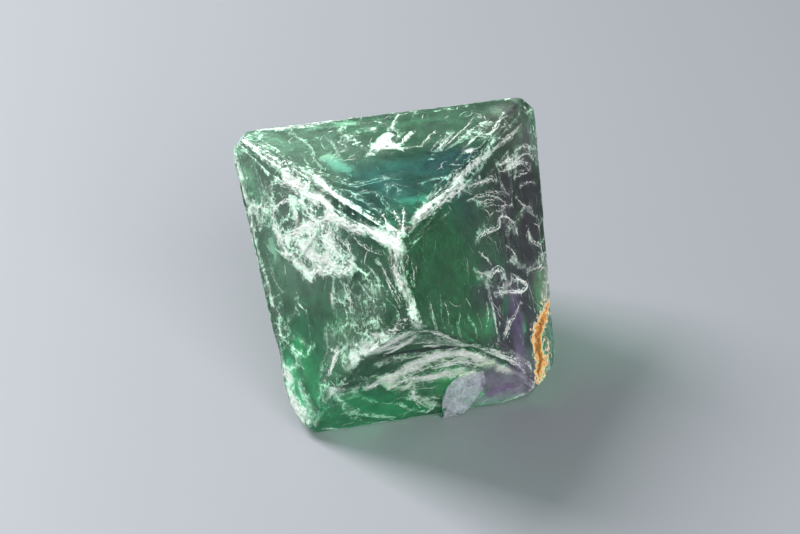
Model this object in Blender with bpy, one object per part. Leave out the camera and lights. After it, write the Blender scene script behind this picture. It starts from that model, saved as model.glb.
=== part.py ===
"""A fluorite octahedron: one natural crystal, split along its cleavage planes and worn by handling.

The crystal lies on one cleavage face. An octahedron on its face has a level face on top, three
side faces that lean in above its waist and three that lean in below it. None of them is exact:
each is turned, tipped and set in or out a little, so its front corner is a short, steep ridge
with a lip of crushed stone at its foot.

Metres, +Z up, +X right, and the front of the crystal faces -Y. The origin is the middle of the
bounding box, on the level that the crystal rests on.
"""

import math
import random

import bmesh
import bpy
from mathutils import Matrix, Vector

MM = 0.001

# Driving dimensions.
INRADIUS = 16.1 * MM  # from the middle of the crystal to an average face: an ideal edge of 39 mm
SLOPE = math.degrees(math.asin(1 / 3))  # how far the six side faces lean off upright
BLOCK = 5 * INRADIUS  # the rough block that the faces are split from

# Each cleavage face: the way it faces (degrees from +X towards +Y), how far it looks up, and how
# far it lies outside the average face.
FACES = {
    "rest": (0, -90, 0),
    "top": (37, 90 - 1.4, 0),
    "right_front": (330 - 6, SLOPE + 2, -2.9 * MM),
    "left_front": (210 + 1, SLOPE - 5, -0.6 * MM),
    "back": (90 + 2, SLOPE, 0.3 * MM),
    "front": (270 + 2, -SLOPE + 0.8, 0.2 * MM),
    "right_back": (30, -SLOPE - 1, 0.9 * MM),
    "left_back": (150 + 2, -SLOPE - 4, -0.3 * MM),
}

# Each edge: how many ledges it has, how wide they are on average, and how deep the edge is rubbed
# at its two ends. The upper end comes first, and the left one on a level edge.
EDGES = {
    ("top", "left_front"): (18, 1.3 * MM, (0.50 * MM, 0.30 * MM)),
    ("top", "right_front"): (16, 1.3 * MM, (0.26 * MM, 0.38 * MM)),
    ("left_front", "right_front"): (4, 0.7 * MM, (0.42 * MM, 0.55 * MM)),
    ("top", "back"): (9, 1.0 * MM, (0.18 * MM, 0.10 * MM)),
    ("front", "left_front"): (7, 0.9 * MM, (0.03 * MM, 0.25 * MM)),
    ("front", "right_front"): (9, 1.0 * MM, (0.03 * MM, 0.22 * MM)),
    ("front", "rest"): (5, 0.6 * MM, (0.12 * MM, 0.16 * MM)),
    ("left_front", "left_back"): (11, 0.9 * MM, (0.12 * MM, 0.20 * MM)),
    ("right_front", "right_back"): (12, 1.2 * MM, (0.25 * MM, 1.15 * MM)),
    ("left_back", "rest"): (5, 0.7 * MM, (0.15 * MM, 0.15 * MM)),
    ("right_back", "rest"): (5, 0.7 * MM, (0.20 * MM, 0.15 * MM)),
    ("back", "left_back"): (9, 1.0 * MM, (0.22 * MM, 0.15 * MM)),
    ("back", "right_back"): (9, 1.0 * MM, (0.15 * MM, 0.22 * MM)),
}

# The worn corners, by the faces that meet there, and how much of each is gone.
CORNERS = {
    ("top", "left_front", "back"): 1.5 * MM,
    ("top", "right_front", "back"): 1.2 * MM,
    ("front", "right_front", "rest"): 3.0 * MM,
    ("front", "left_front", "rest"): 1.3 * MM,
    ("left_back", "right_back", "rest"): 1.6 * MM,
}
CORNER_FACETS = 6  # small flats round the main flat of a worn corner
CORNER_TILT = 27  # degrees between the main flat and those round it

# The lip at the foot of the front ridge: the way its underside faces, and how far out it lies.
LIP_FACING = (270.6, -31.4)
LIP_REACH = INRADIUS - 1.1 * MM
LIP_INSET = 0.02 * MM  # how far the lip's sides lie inside the two faces that it carries on
LIP_ROOT = 1.2 * MM  # how far the lip runs back into the crystal
LIP_COVERS = {("front", "left_front"): 0.48, ("front", "right_front"): 0.45}  # share of each edge

LEDGE_DEPTH = (0.08 * MM, 0.32 * MM)
LEDGE_LENGTH = (1.2 * MM, 6.5 * MM)
LEDGE_SLANT = math.tan(math.radians(30))  # a ledge ends along the next cleavage plane
OUTSIDE = 3 * MM  # how far a cutter sticks out of the crystal

# Terraces, where a cleavage layer still stands on a face or is missing from it: the face, the
# place on it (across, and up the face), the rough half width and the height of the step.
TERRACES = [
    ("front", (-6.0, -4.0), 3.2, 0.14),
    ("front", (8.6, 0.6), 2.6, -0.12),
    ("left_front", (-5.0, 5.0), 4.2, 0.16),
    ("left_front", (-1.5, -7.0), 3.8, -0.14),
    ("left_front", (7.5, 4.0), 2.4, 0.12),
    ("right_front", (7.8, -3.0), 4.0, 0.18),
    ("right_front", (9.0, 7.0), 2.6, -0.14),
    ("top", (-4.0, 5.6), 3.4, 0.14),
    ("top", (6.8, 5.0), 3.0, -0.12),
    ("back", (2.0, 3.0), 5.0, 0.24),
    ("back", (-7.0, -1.0), 3.8, -0.20),
    ("back", (7.0, 4.0), 2.8, -0.16),
    ("right_back", (2.0, 1.0), 4.6, 0.24),
    ("right_back", (-4.0, -5.0), 3.2, -0.18),
    ("left_back", (-3.0, 2.0), 4.8, 0.24),
    ("left_back", (5.0, 5.0), 3.4, -0.20),
]
TERRACE_ROOT = 0.5 * MM  # how far a standing layer runs into the crystal

# The pale leaf-shaped chip that hangs on the front face: its outline on the face (across, and up
# the face, in mm), and its thickness at its upper end and at its tip.
CHIP = [(6.5, -2.1), (7.0, -5.3), (5.4, -9.4), (3.6, -12.4), (2.3, -13.5)]
CHIP += [(1.6, -12.2), (1.4, -7.9), (2.0, -4.3), (3.4, -2.6)]
CHIP_THICKNESS = (0.30 * MM, 0.85 * MM)

# Curved nicks: the edge they sit on (leaning to the side of its first face), how far along it
# (0 to 1), the radius of the curve and the depth.
NICKS = [
    (("left_front", "left_back"), 0.42, 7.0 * MM, 0.30 * MM),
    (("left_front", "left_back"), 0.74, 7.0 * MM, 0.60 * MM),
    (("left_front", "left_back"), 0.90, 4.0 * MM, 0.35 * MM),
    (("top", "left_front"), 0.30, 4.0 * MM, 0.75 * MM),
    (("top", "left_front"), 0.55, 5.0 * MM, 0.60 * MM),
    (("top", "right_front"), 0.42, 5.0 * MM, 0.60 * MM),
    (("top", "right_front"), 0.70, 3.5 * MM, 0.55 * MM),
    (("top", "back"), 0.36, 8.0 * MM, 0.35 * MM),
    (("top", "back"), 0.66, 6.0 * MM, 0.30 * MM),
    (("right_front", "right_back"), 0.22, 6.0 * MM, 0.35 * MM),
    (("right_front", "right_back"), 0.74, 6.0 * MM, 1.05 * MM),
    (("front", "rest"), 0.30, 5.0 * MM, 0.25 * MM),
    (("front", "right_front"), 0.55, 6.0 * MM, 0.35 * MM),
    (("front", "left_front"), 0.70, 5.0 * MM, 0.40 * MM),
    (("back", "right_back"), 0.50, 7.0 * MM, 0.60 * MM),
    (("back", "left_back"), 0.40, 6.0 * MM, 0.55 * MM),
    (("left_back", "rest"), 0.50, 6.0 * MM, 0.50 * MM),
]

NICK_LEAN = 1.6  # a nick faces this much more to its first face than to its second

SEED = 7
CRYSTAL_COLOUR = (0.10, 0.30, 0.19, 1)


def facing(compass, elevation):
    """The unit vector that looks this way."""
    a, e = math.radians(compass), math.radians(elevation)
    return Vector((math.cos(e) * math.cos(a), math.cos(e) * math.sin(a), math.sin(e)))


NORMAL = {name: facing(compass, up) for name, (compass, up, _) in FACES.items()}
REACH = {name: INRADIUS + out for name, (_, _, out) in FACES.items()}


def clear_scene():
    for obj in list(bpy.data.objects):
        bpy.data.objects.remove(obj)


def add_object(name, bm):
    """Makes an object of the bmesh, with its faces turned outward."""
    bmesh.ops.recalc_face_normals(bm, faces=bm.faces[:])
    mesh = bpy.data.meshes.new(name)
    bm.to_mesh(mesh)
    bm.free()
    obj = bpy.data.objects.new(name, mesh)
    bpy.context.scene.collection.objects.link(obj)
    return obj


def split_off(bm, normal, reach):
    """Splits off what lies further out than reach along normal, and closes the solid there."""
    whole = bm.verts[:] + bm.edges[:] + bm.faces[:]
    cut = bmesh.ops.bisect_plane(
        bm, geom=whole, dist=1e-7, plane_co=normal * reach, plane_no=normal, clear_outer=True
    )
    rim = [part for part in cut["geom_cut"] if isinstance(part, bmesh.types.BMEdge)]
    if rim:
        bmesh.ops.contextual_create(bm, geom=rim)


def cleaved_solid():
    """The crystal with sharp edges: the block, split along all eight faces."""
    bm = bmesh.new()
    bmesh.ops.create_cube(bm, size=BLOCK)
    for name in FACES:
        split_off(bm, NORMAL[name], REACH[name])
    bmesh.ops.remove_doubles(bm, verts=bm.verts[:], dist=0.02 * MM)
    bm.normal_update()
    return bm


def meeting_point(names):
    """Where three faces' planes meet."""
    a, b, c = (NORMAL[name] for name in names)
    sides = b.cross(c) * REACH[names[0]] + c.cross(a) * REACH[names[1]] + a.cross(b) * REACH[names[2]]
    return sides / a.dot(b.cross(c))


def edge_ends(bm, pair):
    """The ends of the edge between two faces of the sharp solid, upper or left end first."""
    for edge in bm.edges:
        normals = [face.normal for face in edge.link_faces]
        if all(any(normal.dot(NORMAL[name]) > 0.999 for normal in normals) for name in pair):
            ends = [vert.co.copy() for vert in edge.verts]
            return sorted(ends, key=lambda end: (-round(end.z / MM), end.x))
    raise ValueError(f"no edge between {pair}")


def rub_edge(bm, pair, ends, depths):
    """Takes a narrow flat strip off an edge, deeper at one end than at the other."""
    outward = (NORMAL[pair[0]] + NORMAL[pair[1]]).normalized()
    start, end = (point - outward * depth for point, depth in zip(ends, depths))
    across = (ends[1] - ends[0]).cross(outward)
    normal = (end - start).cross(across).normalized()
    if normal.dot(outward) < 0:
        normal = -normal
    split_off(bm, normal, start.dot(normal))


def wear_corner(bm, names, depth, dice):
    """Rubs a corner down to a main flat with smaller flats round it."""
    corner = meeting_point(names)
    outward = corner.normalized()
    across = outward.orthogonal().normalized()
    around = outward.cross(across)
    split_off(bm, outward, corner.length - depth)
    for i in range(CORNER_FACETS):
        turn = 2 * math.pi * (i + dice.uniform(-0.3, 0.3)) / CORNER_FACETS
        side = across * math.cos(turn) + around * math.sin(turn)
        tilt = math.radians(CORNER_TILT + dice.uniform(-8, 8))
        normal = outward * math.cos(tilt) + side * math.sin(tilt)
        split_off(bm, normal, corner.dot(normal) - depth * dice.uniform(0.42, 0.62))


def front_lip(ridge_ends):
    """The lip: a wedge that carries the two front faces on, past the overhanging face below."""
    pair = ("left_front", "right_front")
    bm = bmesh.new()
    bmesh.ops.create_cube(bm, size=BLOCK)
    for name in pair:
        split_off(bm, NORMAL[name], REACH[name] - LIP_INSET)
    split_off(bm, facing(*LIP_FACING), LIP_REACH)
    split_off(bm, -NORMAL["front"], LIP_ROOT - REACH["front"])
    rub_edge(bm, pair, ridge_ends, [depth + LIP_INSET for depth in EDGES[pair][2]])
    return add_object("front_lip", bm)


def prism(bm, ring_start, ring_end):
    """A closed solid between two rings of the same number of points."""
    start = [bm.verts.new(p) for p in ring_start]
    end = [bm.verts.new(p) for p in ring_end]
    bm.faces.new(start)
    bm.faces.new(end)
    for i in range(len(start)):
        j = (i + 1) % len(start)
        bm.faces.new((start[i], start[j], end[j], end[i]))


def inward_along(face, edge_direction, other):
    """The direction that lies in a face, square to one of its edges and away from it."""
    inward = NORMAL[face].cross(edge_direction).normalized()
    return inward if inward.dot(NORMAL[other]) < 0 else -inward


def ledge_cutter(pair, ends, where, length, width, depth, slant):
    """Takes a strip off the pair's first face, next to their edge.

    The floor of the ledge is parallel to the first face and its back wall to the second, as a
    cleavage step is. The width is measured on the first face, and slant shears the strip's ends.
    """
    first, second = pair
    along = (ends[1] - ends[0]).normalized()
    across = inward_along(first, along, second)
    down = inward_along(second, along, first)
    depth_along = depth / abs(down.dot(NORMAL[first]))
    middle = ends[0].lerp(ends[1], where)
    profile = (
        (-OUTSIDE, -OUTSIDE),
        (width, -OUTSIDE),
        (width, depth_along),
        (-OUTSIDE, depth_along),
    )

    def ring(at):
        return [middle + along * (at + slant * a) + across * a + down * b for a, b in profile]

    bm = bmesh.new()
    prism(bm, ring(-length / 2), ring(length / 2))
    return add_object("ledge_cutter", bm)


def ledges(ends_of, dice):
    """Every ledge, each on a random side of its edge."""
    cutters = []
    for pair, (count, width, _) in EDGES.items():
        start = LIP_COVERS.get(pair, 0)
        for i in range(count):
            sides = pair if dice.random() < 0.5 else pair[::-1]
            cutter = ledge_cutter(
                sides,
                ends_of[pair],
                where=start + (1 - start) * (i + dice.uniform(0.1, 0.9)) / count,
                length=dice.uniform(*LEDGE_LENGTH),
                width=width * dice.uniform(0.4, 1.9),
                depth=dice.uniform(*LEDGE_DEPTH),
                slant=dice.choice((-LEDGE_SLANT, LEDGE_SLANT)),
            )
            cutters.append(cutter)
    return cutters


def nick_cutters(ends_of):
    """A ball for each curved nick, sunk into its edge to the nick's depth."""
    cutters = []
    for pair, where, radius, depth in NICKS:
        outward = (NORMAL[pair[0]] * NICK_LEAN + NORMAL[pair[1]]).normalized()
        bm = bmesh.new()
        bmesh.ops.create_icosphere(bm, subdivisions=4, radius=radius)
        place = ends_of[pair][0].lerp(ends_of[pair][1], where) + outward * (radius - depth)
        bmesh.ops.translate(bm, vec=place, verts=bm.verts[:])
        cutters.append(add_object("nick_cutter", bm))
    return cutters


def on_face(name, across, up):
    """A point on a face: millimetres across it and up it from the foot of its normal."""
    normal = NORMAL[name]
    right = Vector((0, 0, 1)).cross(normal)
    right = right.normalized() if right.length > 0.1 else Vector((1, 0, 0))
    return normal * REACH[name] + (right * across + normal.cross(right) * up) * MM


def terrace(name, place, half_width, height, dice):
    """A layer bounded by the other cleavage planes, standing on a face or missing from it."""
    normal = NORMAL[name]
    bm = bmesh.new()
    bmesh.ops.create_cube(bm, size=6 * half_width * MM)
    for other in FACES:
        if abs(NORMAL[other].dot(normal)) < 0.9:
            split_off(bm, NORMAL[other], half_width * dice.uniform(0.45, 1.15) * MM)
    if height > 0:
        split_off(bm, normal, height * MM)
        split_off(bm, -normal, TERRACE_ROOT)
    else:
        split_off(bm, normal, OUTSIDE)
        split_off(bm, -normal, -height * MM)
    bmesh.ops.translate(bm, vec=on_face(name, *place), verts=bm.verts[:])
    return add_object("terrace", bm)


def chip():
    """The leaf-shaped chip, a thin plate on the front face."""
    normal = NORMAL["front"]
    foot = [on_face("front", *point) - normal * TERRACE_ROOT for point in CHIP]
    tip, top = (find(up for _, up in CHIP) for find in (min, max))
    thin, thick = CHIP_THICKNESS
    rise = [thick + (thin - thick) * (up - tip) / (top - tip) for _, up in CHIP]
    crown = [point + normal * (TERRACE_ROOT + height) for point, height in zip(foot, rise)]
    bm = bmesh.new()
    prism(bm, foot, crown)
    split_off(bm, NORMAL["rest"], REACH["rest"])
    return add_object("chip", bm)


def combine(target, others, operation, name):
    """Joins or cuts with a whole collection of hidden helpers."""
    collection = bpy.data.collections.new(name)
    bpy.context.scene.collection.children.link(collection)
    for obj in others:
        bpy.context.scene.collection.objects.unlink(obj)
        collection.objects.link(obj)
        obj.hide_render = True
        obj.display_type = "WIRE"
    boolean = target.modifiers.new(name, "BOOLEAN")
    boolean.operation = operation
    boolean.operand_type = "COLLECTION"
    boolean.collection = collection
    boolean.solver = "EXACT"
    boolean.use_self = True


def fluorite():
    """Clear green fluorite."""
    material = bpy.data.materials.new("fluorite")
    material.use_nodes = True
    shader = material.node_tree.nodes["Principled BSDF"]
    shader.inputs["Base Color"].default_value = CRYSTAL_COLOUR
    shader.inputs["Roughness"].default_value = 0.12
    shader.inputs["Metallic"].default_value = 0
    shader.inputs["IOR"].default_value = 1.434
    shader.inputs["Transmission Weight"].default_value = 1
    return material


def set_on_origin(crystal, helpers):
    """Moves the crystal so that the origin is under the middle of its box, on its resting face."""
    solid = crystal.evaluated_get(bpy.context.evaluated_depsgraph_get())
    corners = [Vector(corner) for corner in solid.bound_box]
    low = Vector(min(corner[i] for corner in corners) for i in range(3))
    high = Vector(max(corner[i] for corner in corners) for i in range(3))
    shift = Vector((-(low.x + high.x) / 2, -(low.y + high.y) / 2, -low.z))
    for obj in [crystal, *helpers]:
        obj.data.transform(Matrix.Translation(shift))


def build():
    clear_scene()
    dice = random.Random(SEED)
    bm = cleaved_solid()
    ends_of = {pair: edge_ends(bm, pair) for pair in EDGES}
    for pair, (_, _, depths) in EDGES.items():
        rub_edge(bm, pair, ends_of[pair], depths)
    for names, depth in CORNERS.items():
        wear_corner(bm, names, depth, dice)
    crystal = add_object("fluorite_octahedron", bm)
    crystal.data.materials.append(fluorite())

    layers = [terrace(*values, dice) for values in TERRACES if values[3] > 0]
    added = [front_lip(ends_of["left_front", "right_front"]), chip(), *layers]
    hollows = [terrace(*values, dice) for values in TERRACES if values[3] < 0]
    removed = hollows + ledges(ends_of, dice) + nick_cutters(ends_of)
    combine(crystal, added, "UNION", "lip, chip and standing layers")
    combine(crystal, removed, "DIFFERENCE", "ledges, nicks and missing layers")
    set_on_origin(crystal, added + removed)


build()
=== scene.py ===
# %% [markdown]
# # A fluorite octahedron
# One cleaved crystal of green fluorite lies on one of its eight faces. Its faces are flat, its edges are
# crushed and white, and white cracks and veils run below its surface.
# The crystal is one piece of glassy mineral, so the scene has one clear body. The veils, cracks and stain
# are thin skins and ribbons that lie on it or in it, as they do in the stone.

# %% Load the part and note its box
import math

import bmesh
import bpy
import numpy as np
from mathutils import Matrix, Vector, noise
from mathutils.bvhtree import BVHTree


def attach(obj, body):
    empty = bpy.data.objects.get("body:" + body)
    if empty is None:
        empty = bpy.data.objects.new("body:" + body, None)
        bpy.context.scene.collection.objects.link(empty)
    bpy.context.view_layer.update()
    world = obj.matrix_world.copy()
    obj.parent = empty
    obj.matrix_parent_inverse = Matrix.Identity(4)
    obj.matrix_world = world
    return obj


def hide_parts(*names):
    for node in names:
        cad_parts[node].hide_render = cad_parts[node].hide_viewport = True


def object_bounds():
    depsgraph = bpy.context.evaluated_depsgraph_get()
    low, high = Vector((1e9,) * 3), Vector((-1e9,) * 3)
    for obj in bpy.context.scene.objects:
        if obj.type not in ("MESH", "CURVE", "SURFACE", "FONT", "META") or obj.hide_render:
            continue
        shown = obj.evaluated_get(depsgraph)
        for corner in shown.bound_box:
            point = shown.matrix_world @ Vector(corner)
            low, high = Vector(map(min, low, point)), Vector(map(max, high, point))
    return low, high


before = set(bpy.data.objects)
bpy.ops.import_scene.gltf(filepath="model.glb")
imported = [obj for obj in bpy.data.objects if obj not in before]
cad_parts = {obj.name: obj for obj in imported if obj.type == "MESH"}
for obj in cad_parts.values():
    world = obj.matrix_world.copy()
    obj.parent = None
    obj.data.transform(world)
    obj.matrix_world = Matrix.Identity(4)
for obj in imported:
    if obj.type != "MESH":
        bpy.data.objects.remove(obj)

MM = 0.001
cad_low, cad_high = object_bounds()
print("size of the part in mm:", [round(v / MM, 2) for v in cad_high - cad_low])

# %% [markdown]
# ## Camera
# A long lens looks down on the crystal from the front, a little from the left. The camera is built from
# three directions, back, right and up, which is easier to follow than three angles.

# %% Camera
AZIMUTH, ELEVATION, ROLL = (math.radians(a) for a in (-8.65, 36.02, -2.12))
DISTANCE = 288.57 * MM
AIM = Vector((0.53, 0.36, 14.51)) * MM
SLIDE_LEFT, SLIDE_UP = 0.84 * MM, 0.57 * MM
FOCAL_LENGTH, SENSOR_WIDTH = 100, 36

back = Vector((math.sin(AZIMUTH) * math.cos(ELEVATION), -math.cos(AZIMUTH) * math.cos(ELEVATION),
               math.sin(ELEVATION)))
level = Vector((math.cos(AZIMUTH), math.sin(AZIMUTH), 0))
above = back.cross(level)
camera_right = math.cos(ROLL) * level + math.sin(ROLL) * above
camera_up = -math.sin(ROLL) * level + math.cos(ROLL) * above
lens = bpy.data.cameras.new("camera")
lens.lens, lens.sensor_width, lens.clip_start, lens.clip_end = FOCAL_LENGTH, SENSOR_WIDTH, 0.01, 10
camera = bpy.data.objects.new("camera", lens)
bpy.context.scene.collection.objects.link(camera)
place = Matrix((camera_right, camera_up, back)).transposed().to_4x4()
place.translation = AIM - SLIDE_LEFT * camera_right + SLIDE_UP * camera_up + back * DISTANCE
camera.matrix_world = place
bpy.context.scene.camera = camera
print("camera stands at", [round(v, 3) for v in place.translation])

# %% [markdown]
# ## Floor and light
# A pale floor and two large soft lamps give broad, quiet reflections on the flat faces. The sky is dim
# and even, so that the green of the stone stays deep. Light crosses many thin skins inside the stone, so
# it may pass through see-through surfaces 28 times, where Blender's own limit is 8.

# %% Floor and light
FLOOR_COLOUR, FLOOR_SIZE, FLOOR_LEVEL = (0.21, 0.222, 0.24), 2, -0.0001
SKY_COLOUR, SKY_STRENGTH = (0.80, 0.85, 0.90), 0.30
LAMPS_FACE = Vector((0, 0, 0.015))
BOUNCES = {"max_bounces": 12, "transmission_bounces": 10, "transparent_max_bounces": 28}


def new_material(name):
    """A material, its node tree and its main shader."""
    material = bpy.data.materials.new(name)
    material.use_nodes = True
    return material, material.node_tree, material.node_tree.nodes["Principled BSDF"]


def plain_material(name, colour, roughness):
    material, _, shader = new_material(name)
    shader.inputs["Base Color"].default_value = (*colour, 1)
    shader.inputs["Roughness"].default_value = roughness
    return material


def soft_lamp(name, position, size, watts):
    lamp = bpy.data.lights.new(name, "AREA")
    lamp.size, lamp.energy = size, watts
    holder = bpy.data.objects.new(name, lamp)
    bpy.context.scene.collection.objects.link(holder)
    holder.location = position
    holder.rotation_euler = (LAMPS_FACE - Vector(position)).to_track_quat("-Z", "Y").to_euler()
    return holder


bpy.ops.mesh.primitive_plane_add(size=FLOOR_SIZE)
floor = bpy.context.object
floor.name = "floor"
floor.location.z = FLOOR_LEVEL
floor.data.materials.append(plain_material("floor", FLOOR_COLOUR, 0.6))
sky = bpy.data.worlds.new("sky")
bpy.context.scene.world = sky
sky.use_nodes = True
backdrop = sky.node_tree.nodes["Background"].inputs
backdrop["Color"].default_value = (*SKY_COLOUR, 1)
backdrop["Strength"].default_value = SKY_STRENGTH
lamps = [soft_lamp("window", (-0.22, 0.22, 0.34), 0.20, 4.3),
         soft_lamp("fill", (0.12, -0.34, 0.30), 0.30, 2.1)]
bpy.context.scene.view_settings.view_transform = "Standard"
for setting, bounces in BOUNCES.items():
    setattr(bpy.context.scene.cycles, setting, bounces)
print("lamps:", [lamp.name for lamp in lamps])

# %% [markdown]
# ## The eight faces
# Every mark on the stone is laid out on one of its faces, in millimetres across and up from the face's
# middle. So each face needs a middle point and three directions.

# %% Measure the faces
# the way each face looks: degrees round from +X, degrees up, and mm further out than the average face
INRADIUS = 16.1
MIDDLE = np.array((0.5307, -0.1355, 16.10))
FACES = {"rest": (0, -90, 0), "top": (37, 88.6, 0), "right_front": (324, 21.47, -2.9),
         "left_front": (211, 14.47, -0.6), "back": (92, 19.47, 0.3), "front": (272, -18.67, 0.2),
         "right_back": (30, -20.47, 0.9), "left_back": (152, -23.47, -0.3)}


class Face:
    """A flat face of the crystal: its middle, and the directions across, up and out of it (mm)."""

    def __init__(self, compass, elevation, further):
        turn, tilt = math.radians(compass), math.radians(elevation)
        self.out = np.array((math.cos(turn) * math.cos(tilt), math.sin(turn) * math.cos(tilt),
                             math.sin(tilt)))
        sideways = np.cross((0, 0, 1), self.out)
        size = np.linalg.norm(sideways)
        self.across = sideways / size if size > 0.1 else np.array((1.0, 0, 0))
        self.up = np.cross(self.out, self.across)
        self.reach = INRADIUS + further
        self.foot = MIDDLE + self.out * self.reach

    def point(self, across, up):
        return self.foot + across * self.across + up * self.up

    def flat(self, points):
        """Across and up of points on or near the face."""
        away = points - self.foot
        return np.stack((away @ self.across, away @ self.up), axis=1)


face_of = {name: Face(*angles) for name, angles in FACES.items()}
names = list(face_of)
print("faces:", {name: [round(float(v), 2) for v in face.out] for name, face in face_of.items()})

# %% [markdown]
# ## The crystal's body
# The part's own mesh has some large triangles. They are split until no side is much over a millimetre
# long, or half a millimetre near the edges. Then the edges are crushed by pushing points in with noise,
# while the middles of the faces stay flat. A bump texture would be lighter, but it leaves the outline
# straight, and a real crystal's edges are chipped in outline too.

# %% Split the part's triangles
FACE_GRAIN, EDGE_GRAIN = 0.85, 0.42
OVERLONG = 1.35  # a side this many grains long is split
EDGE_BAND = 2.2
EDGE_SINE = math.sin(math.radians(70.53))  # sine of the angle between two faces that meet in an edge

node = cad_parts["fluorite_octahedron"]
body = bmesh.new()
body.from_mesh(node.data)
body.transform(node.matrix_world)
bmesh.ops.remove_doubles(body, verts=body.verts, dist=0.002 * MM)
bmesh.ops.scale(body, vec=(1 / MM,) * 3, verts=body.verts)

outs = np.array([face.out for face in face_of.values()])
reaches = np.array([face.reach for face in face_of.values()])


def depths_below(points):
    """How deep each point lies below each of the eight planes."""
    return reaches - (points - MIDDLE) @ outs.T


def edge_distance(points):
    """Nearest face, next face, and the distance from the edge between them."""
    depth = depths_below(points)
    order = np.argsort(depth, axis=1)
    rows = np.arange(len(points))
    return order[:, 0], order[:, 1], (depth[rows, order[:, 1]] - depth[rows, order[:, 0]]) / EDGE_SINE


def positions(mesh):
    return np.array([v.co[:] for v in mesh.verts])


def split_long_edges(mesh, rounds=9):
    for _ in range(rounds):
        mesh.verts.index_update()
        mesh.edges.ensure_lookup_table()
        ends = np.array([[v.index for v in edge.verts] for edge in mesh.edges])
        first, last = positions(mesh)[ends.T]
        away = edge_distance((first + last) / 2)[2]
        limit = np.where(away < EDGE_BAND, EDGE_GRAIN, FACE_GRAIN) * OVERLONG
        chosen = [mesh.edges[i] for i in np.flatnonzero(np.linalg.norm(first - last, axis=1) > limit)]
        if not chosen:
            break
        bmesh.ops.subdivide_edges(mesh, edges=chosen, cuts=1)
        bmesh.ops.triangulate(mesh, faces=[f for f in mesh.faces if len(f.verts) > 3])


bmesh.ops.triangulate(body, faces=body.faces)
split_long_edges(body)
print("triangles after splitting:", len(body.faces))

# %% Crush the edges
# how deep each edge is crushed, and how far in from it (mm)
CRUSH = {("top", "left_front"): (0.42, 3.0), ("top", "right_front"): (0.28, 1.9),
         ("left_front", "right_front"): (0.26, 1.1), ("front", "left_front"): (0.30, 1.4),
         ("front", "right_front"): (0.18, 1.0)}
ANY_EDGE = (0.20, 1.0)


def crush_of(first, second):
    pair = (names[first], names[second])
    return CRUSH.get(pair) or CRUSH.get(pair[::-1]) or ANY_EDGE


near, following, from_edge = edge_distance(positions(body))
pushed = 0
for vertex, a, b, away in zip(body.verts, near, following, from_edge):
    depth, reach = crush_of(a, b)
    if away >= reach:
        continue
    fade = (1 - max(away, 0) / reach) ** 1.3
    spot = vertex.co
    ridges = noise.ridged_multi_fractal(spot * 0.55, 0.9, 2.1, 4, 1.0, 2.0) * 0.45
    steps = math.floor(noise.noise(spot * 0.8) * 5) / 5
    inward = -Vector(outs[a] + outs[b]).normalized()
    vertex.co = spot + inward * depth * fade * max(0.0, 0.15 + ridges + 0.5 * steps)
    pushed += 1
body.normal_update()
print("points pushed in along the edges:", pushed)

# %% [markdown]
# ## Marks on the faces
# Each mark is a stroke: a line across a face with a width, a strength, a number of fine hairs and a
# depth. A crushed edge is a wide strong stroke, a crack is a narrow one, and a cloudy veil is a wide
# faint one. Lengths are in millimetres on the face. An image could hold the marks, but strokes need no
# file, can be changed one by one, and serve both the painted skins and the ribbons.

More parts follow.
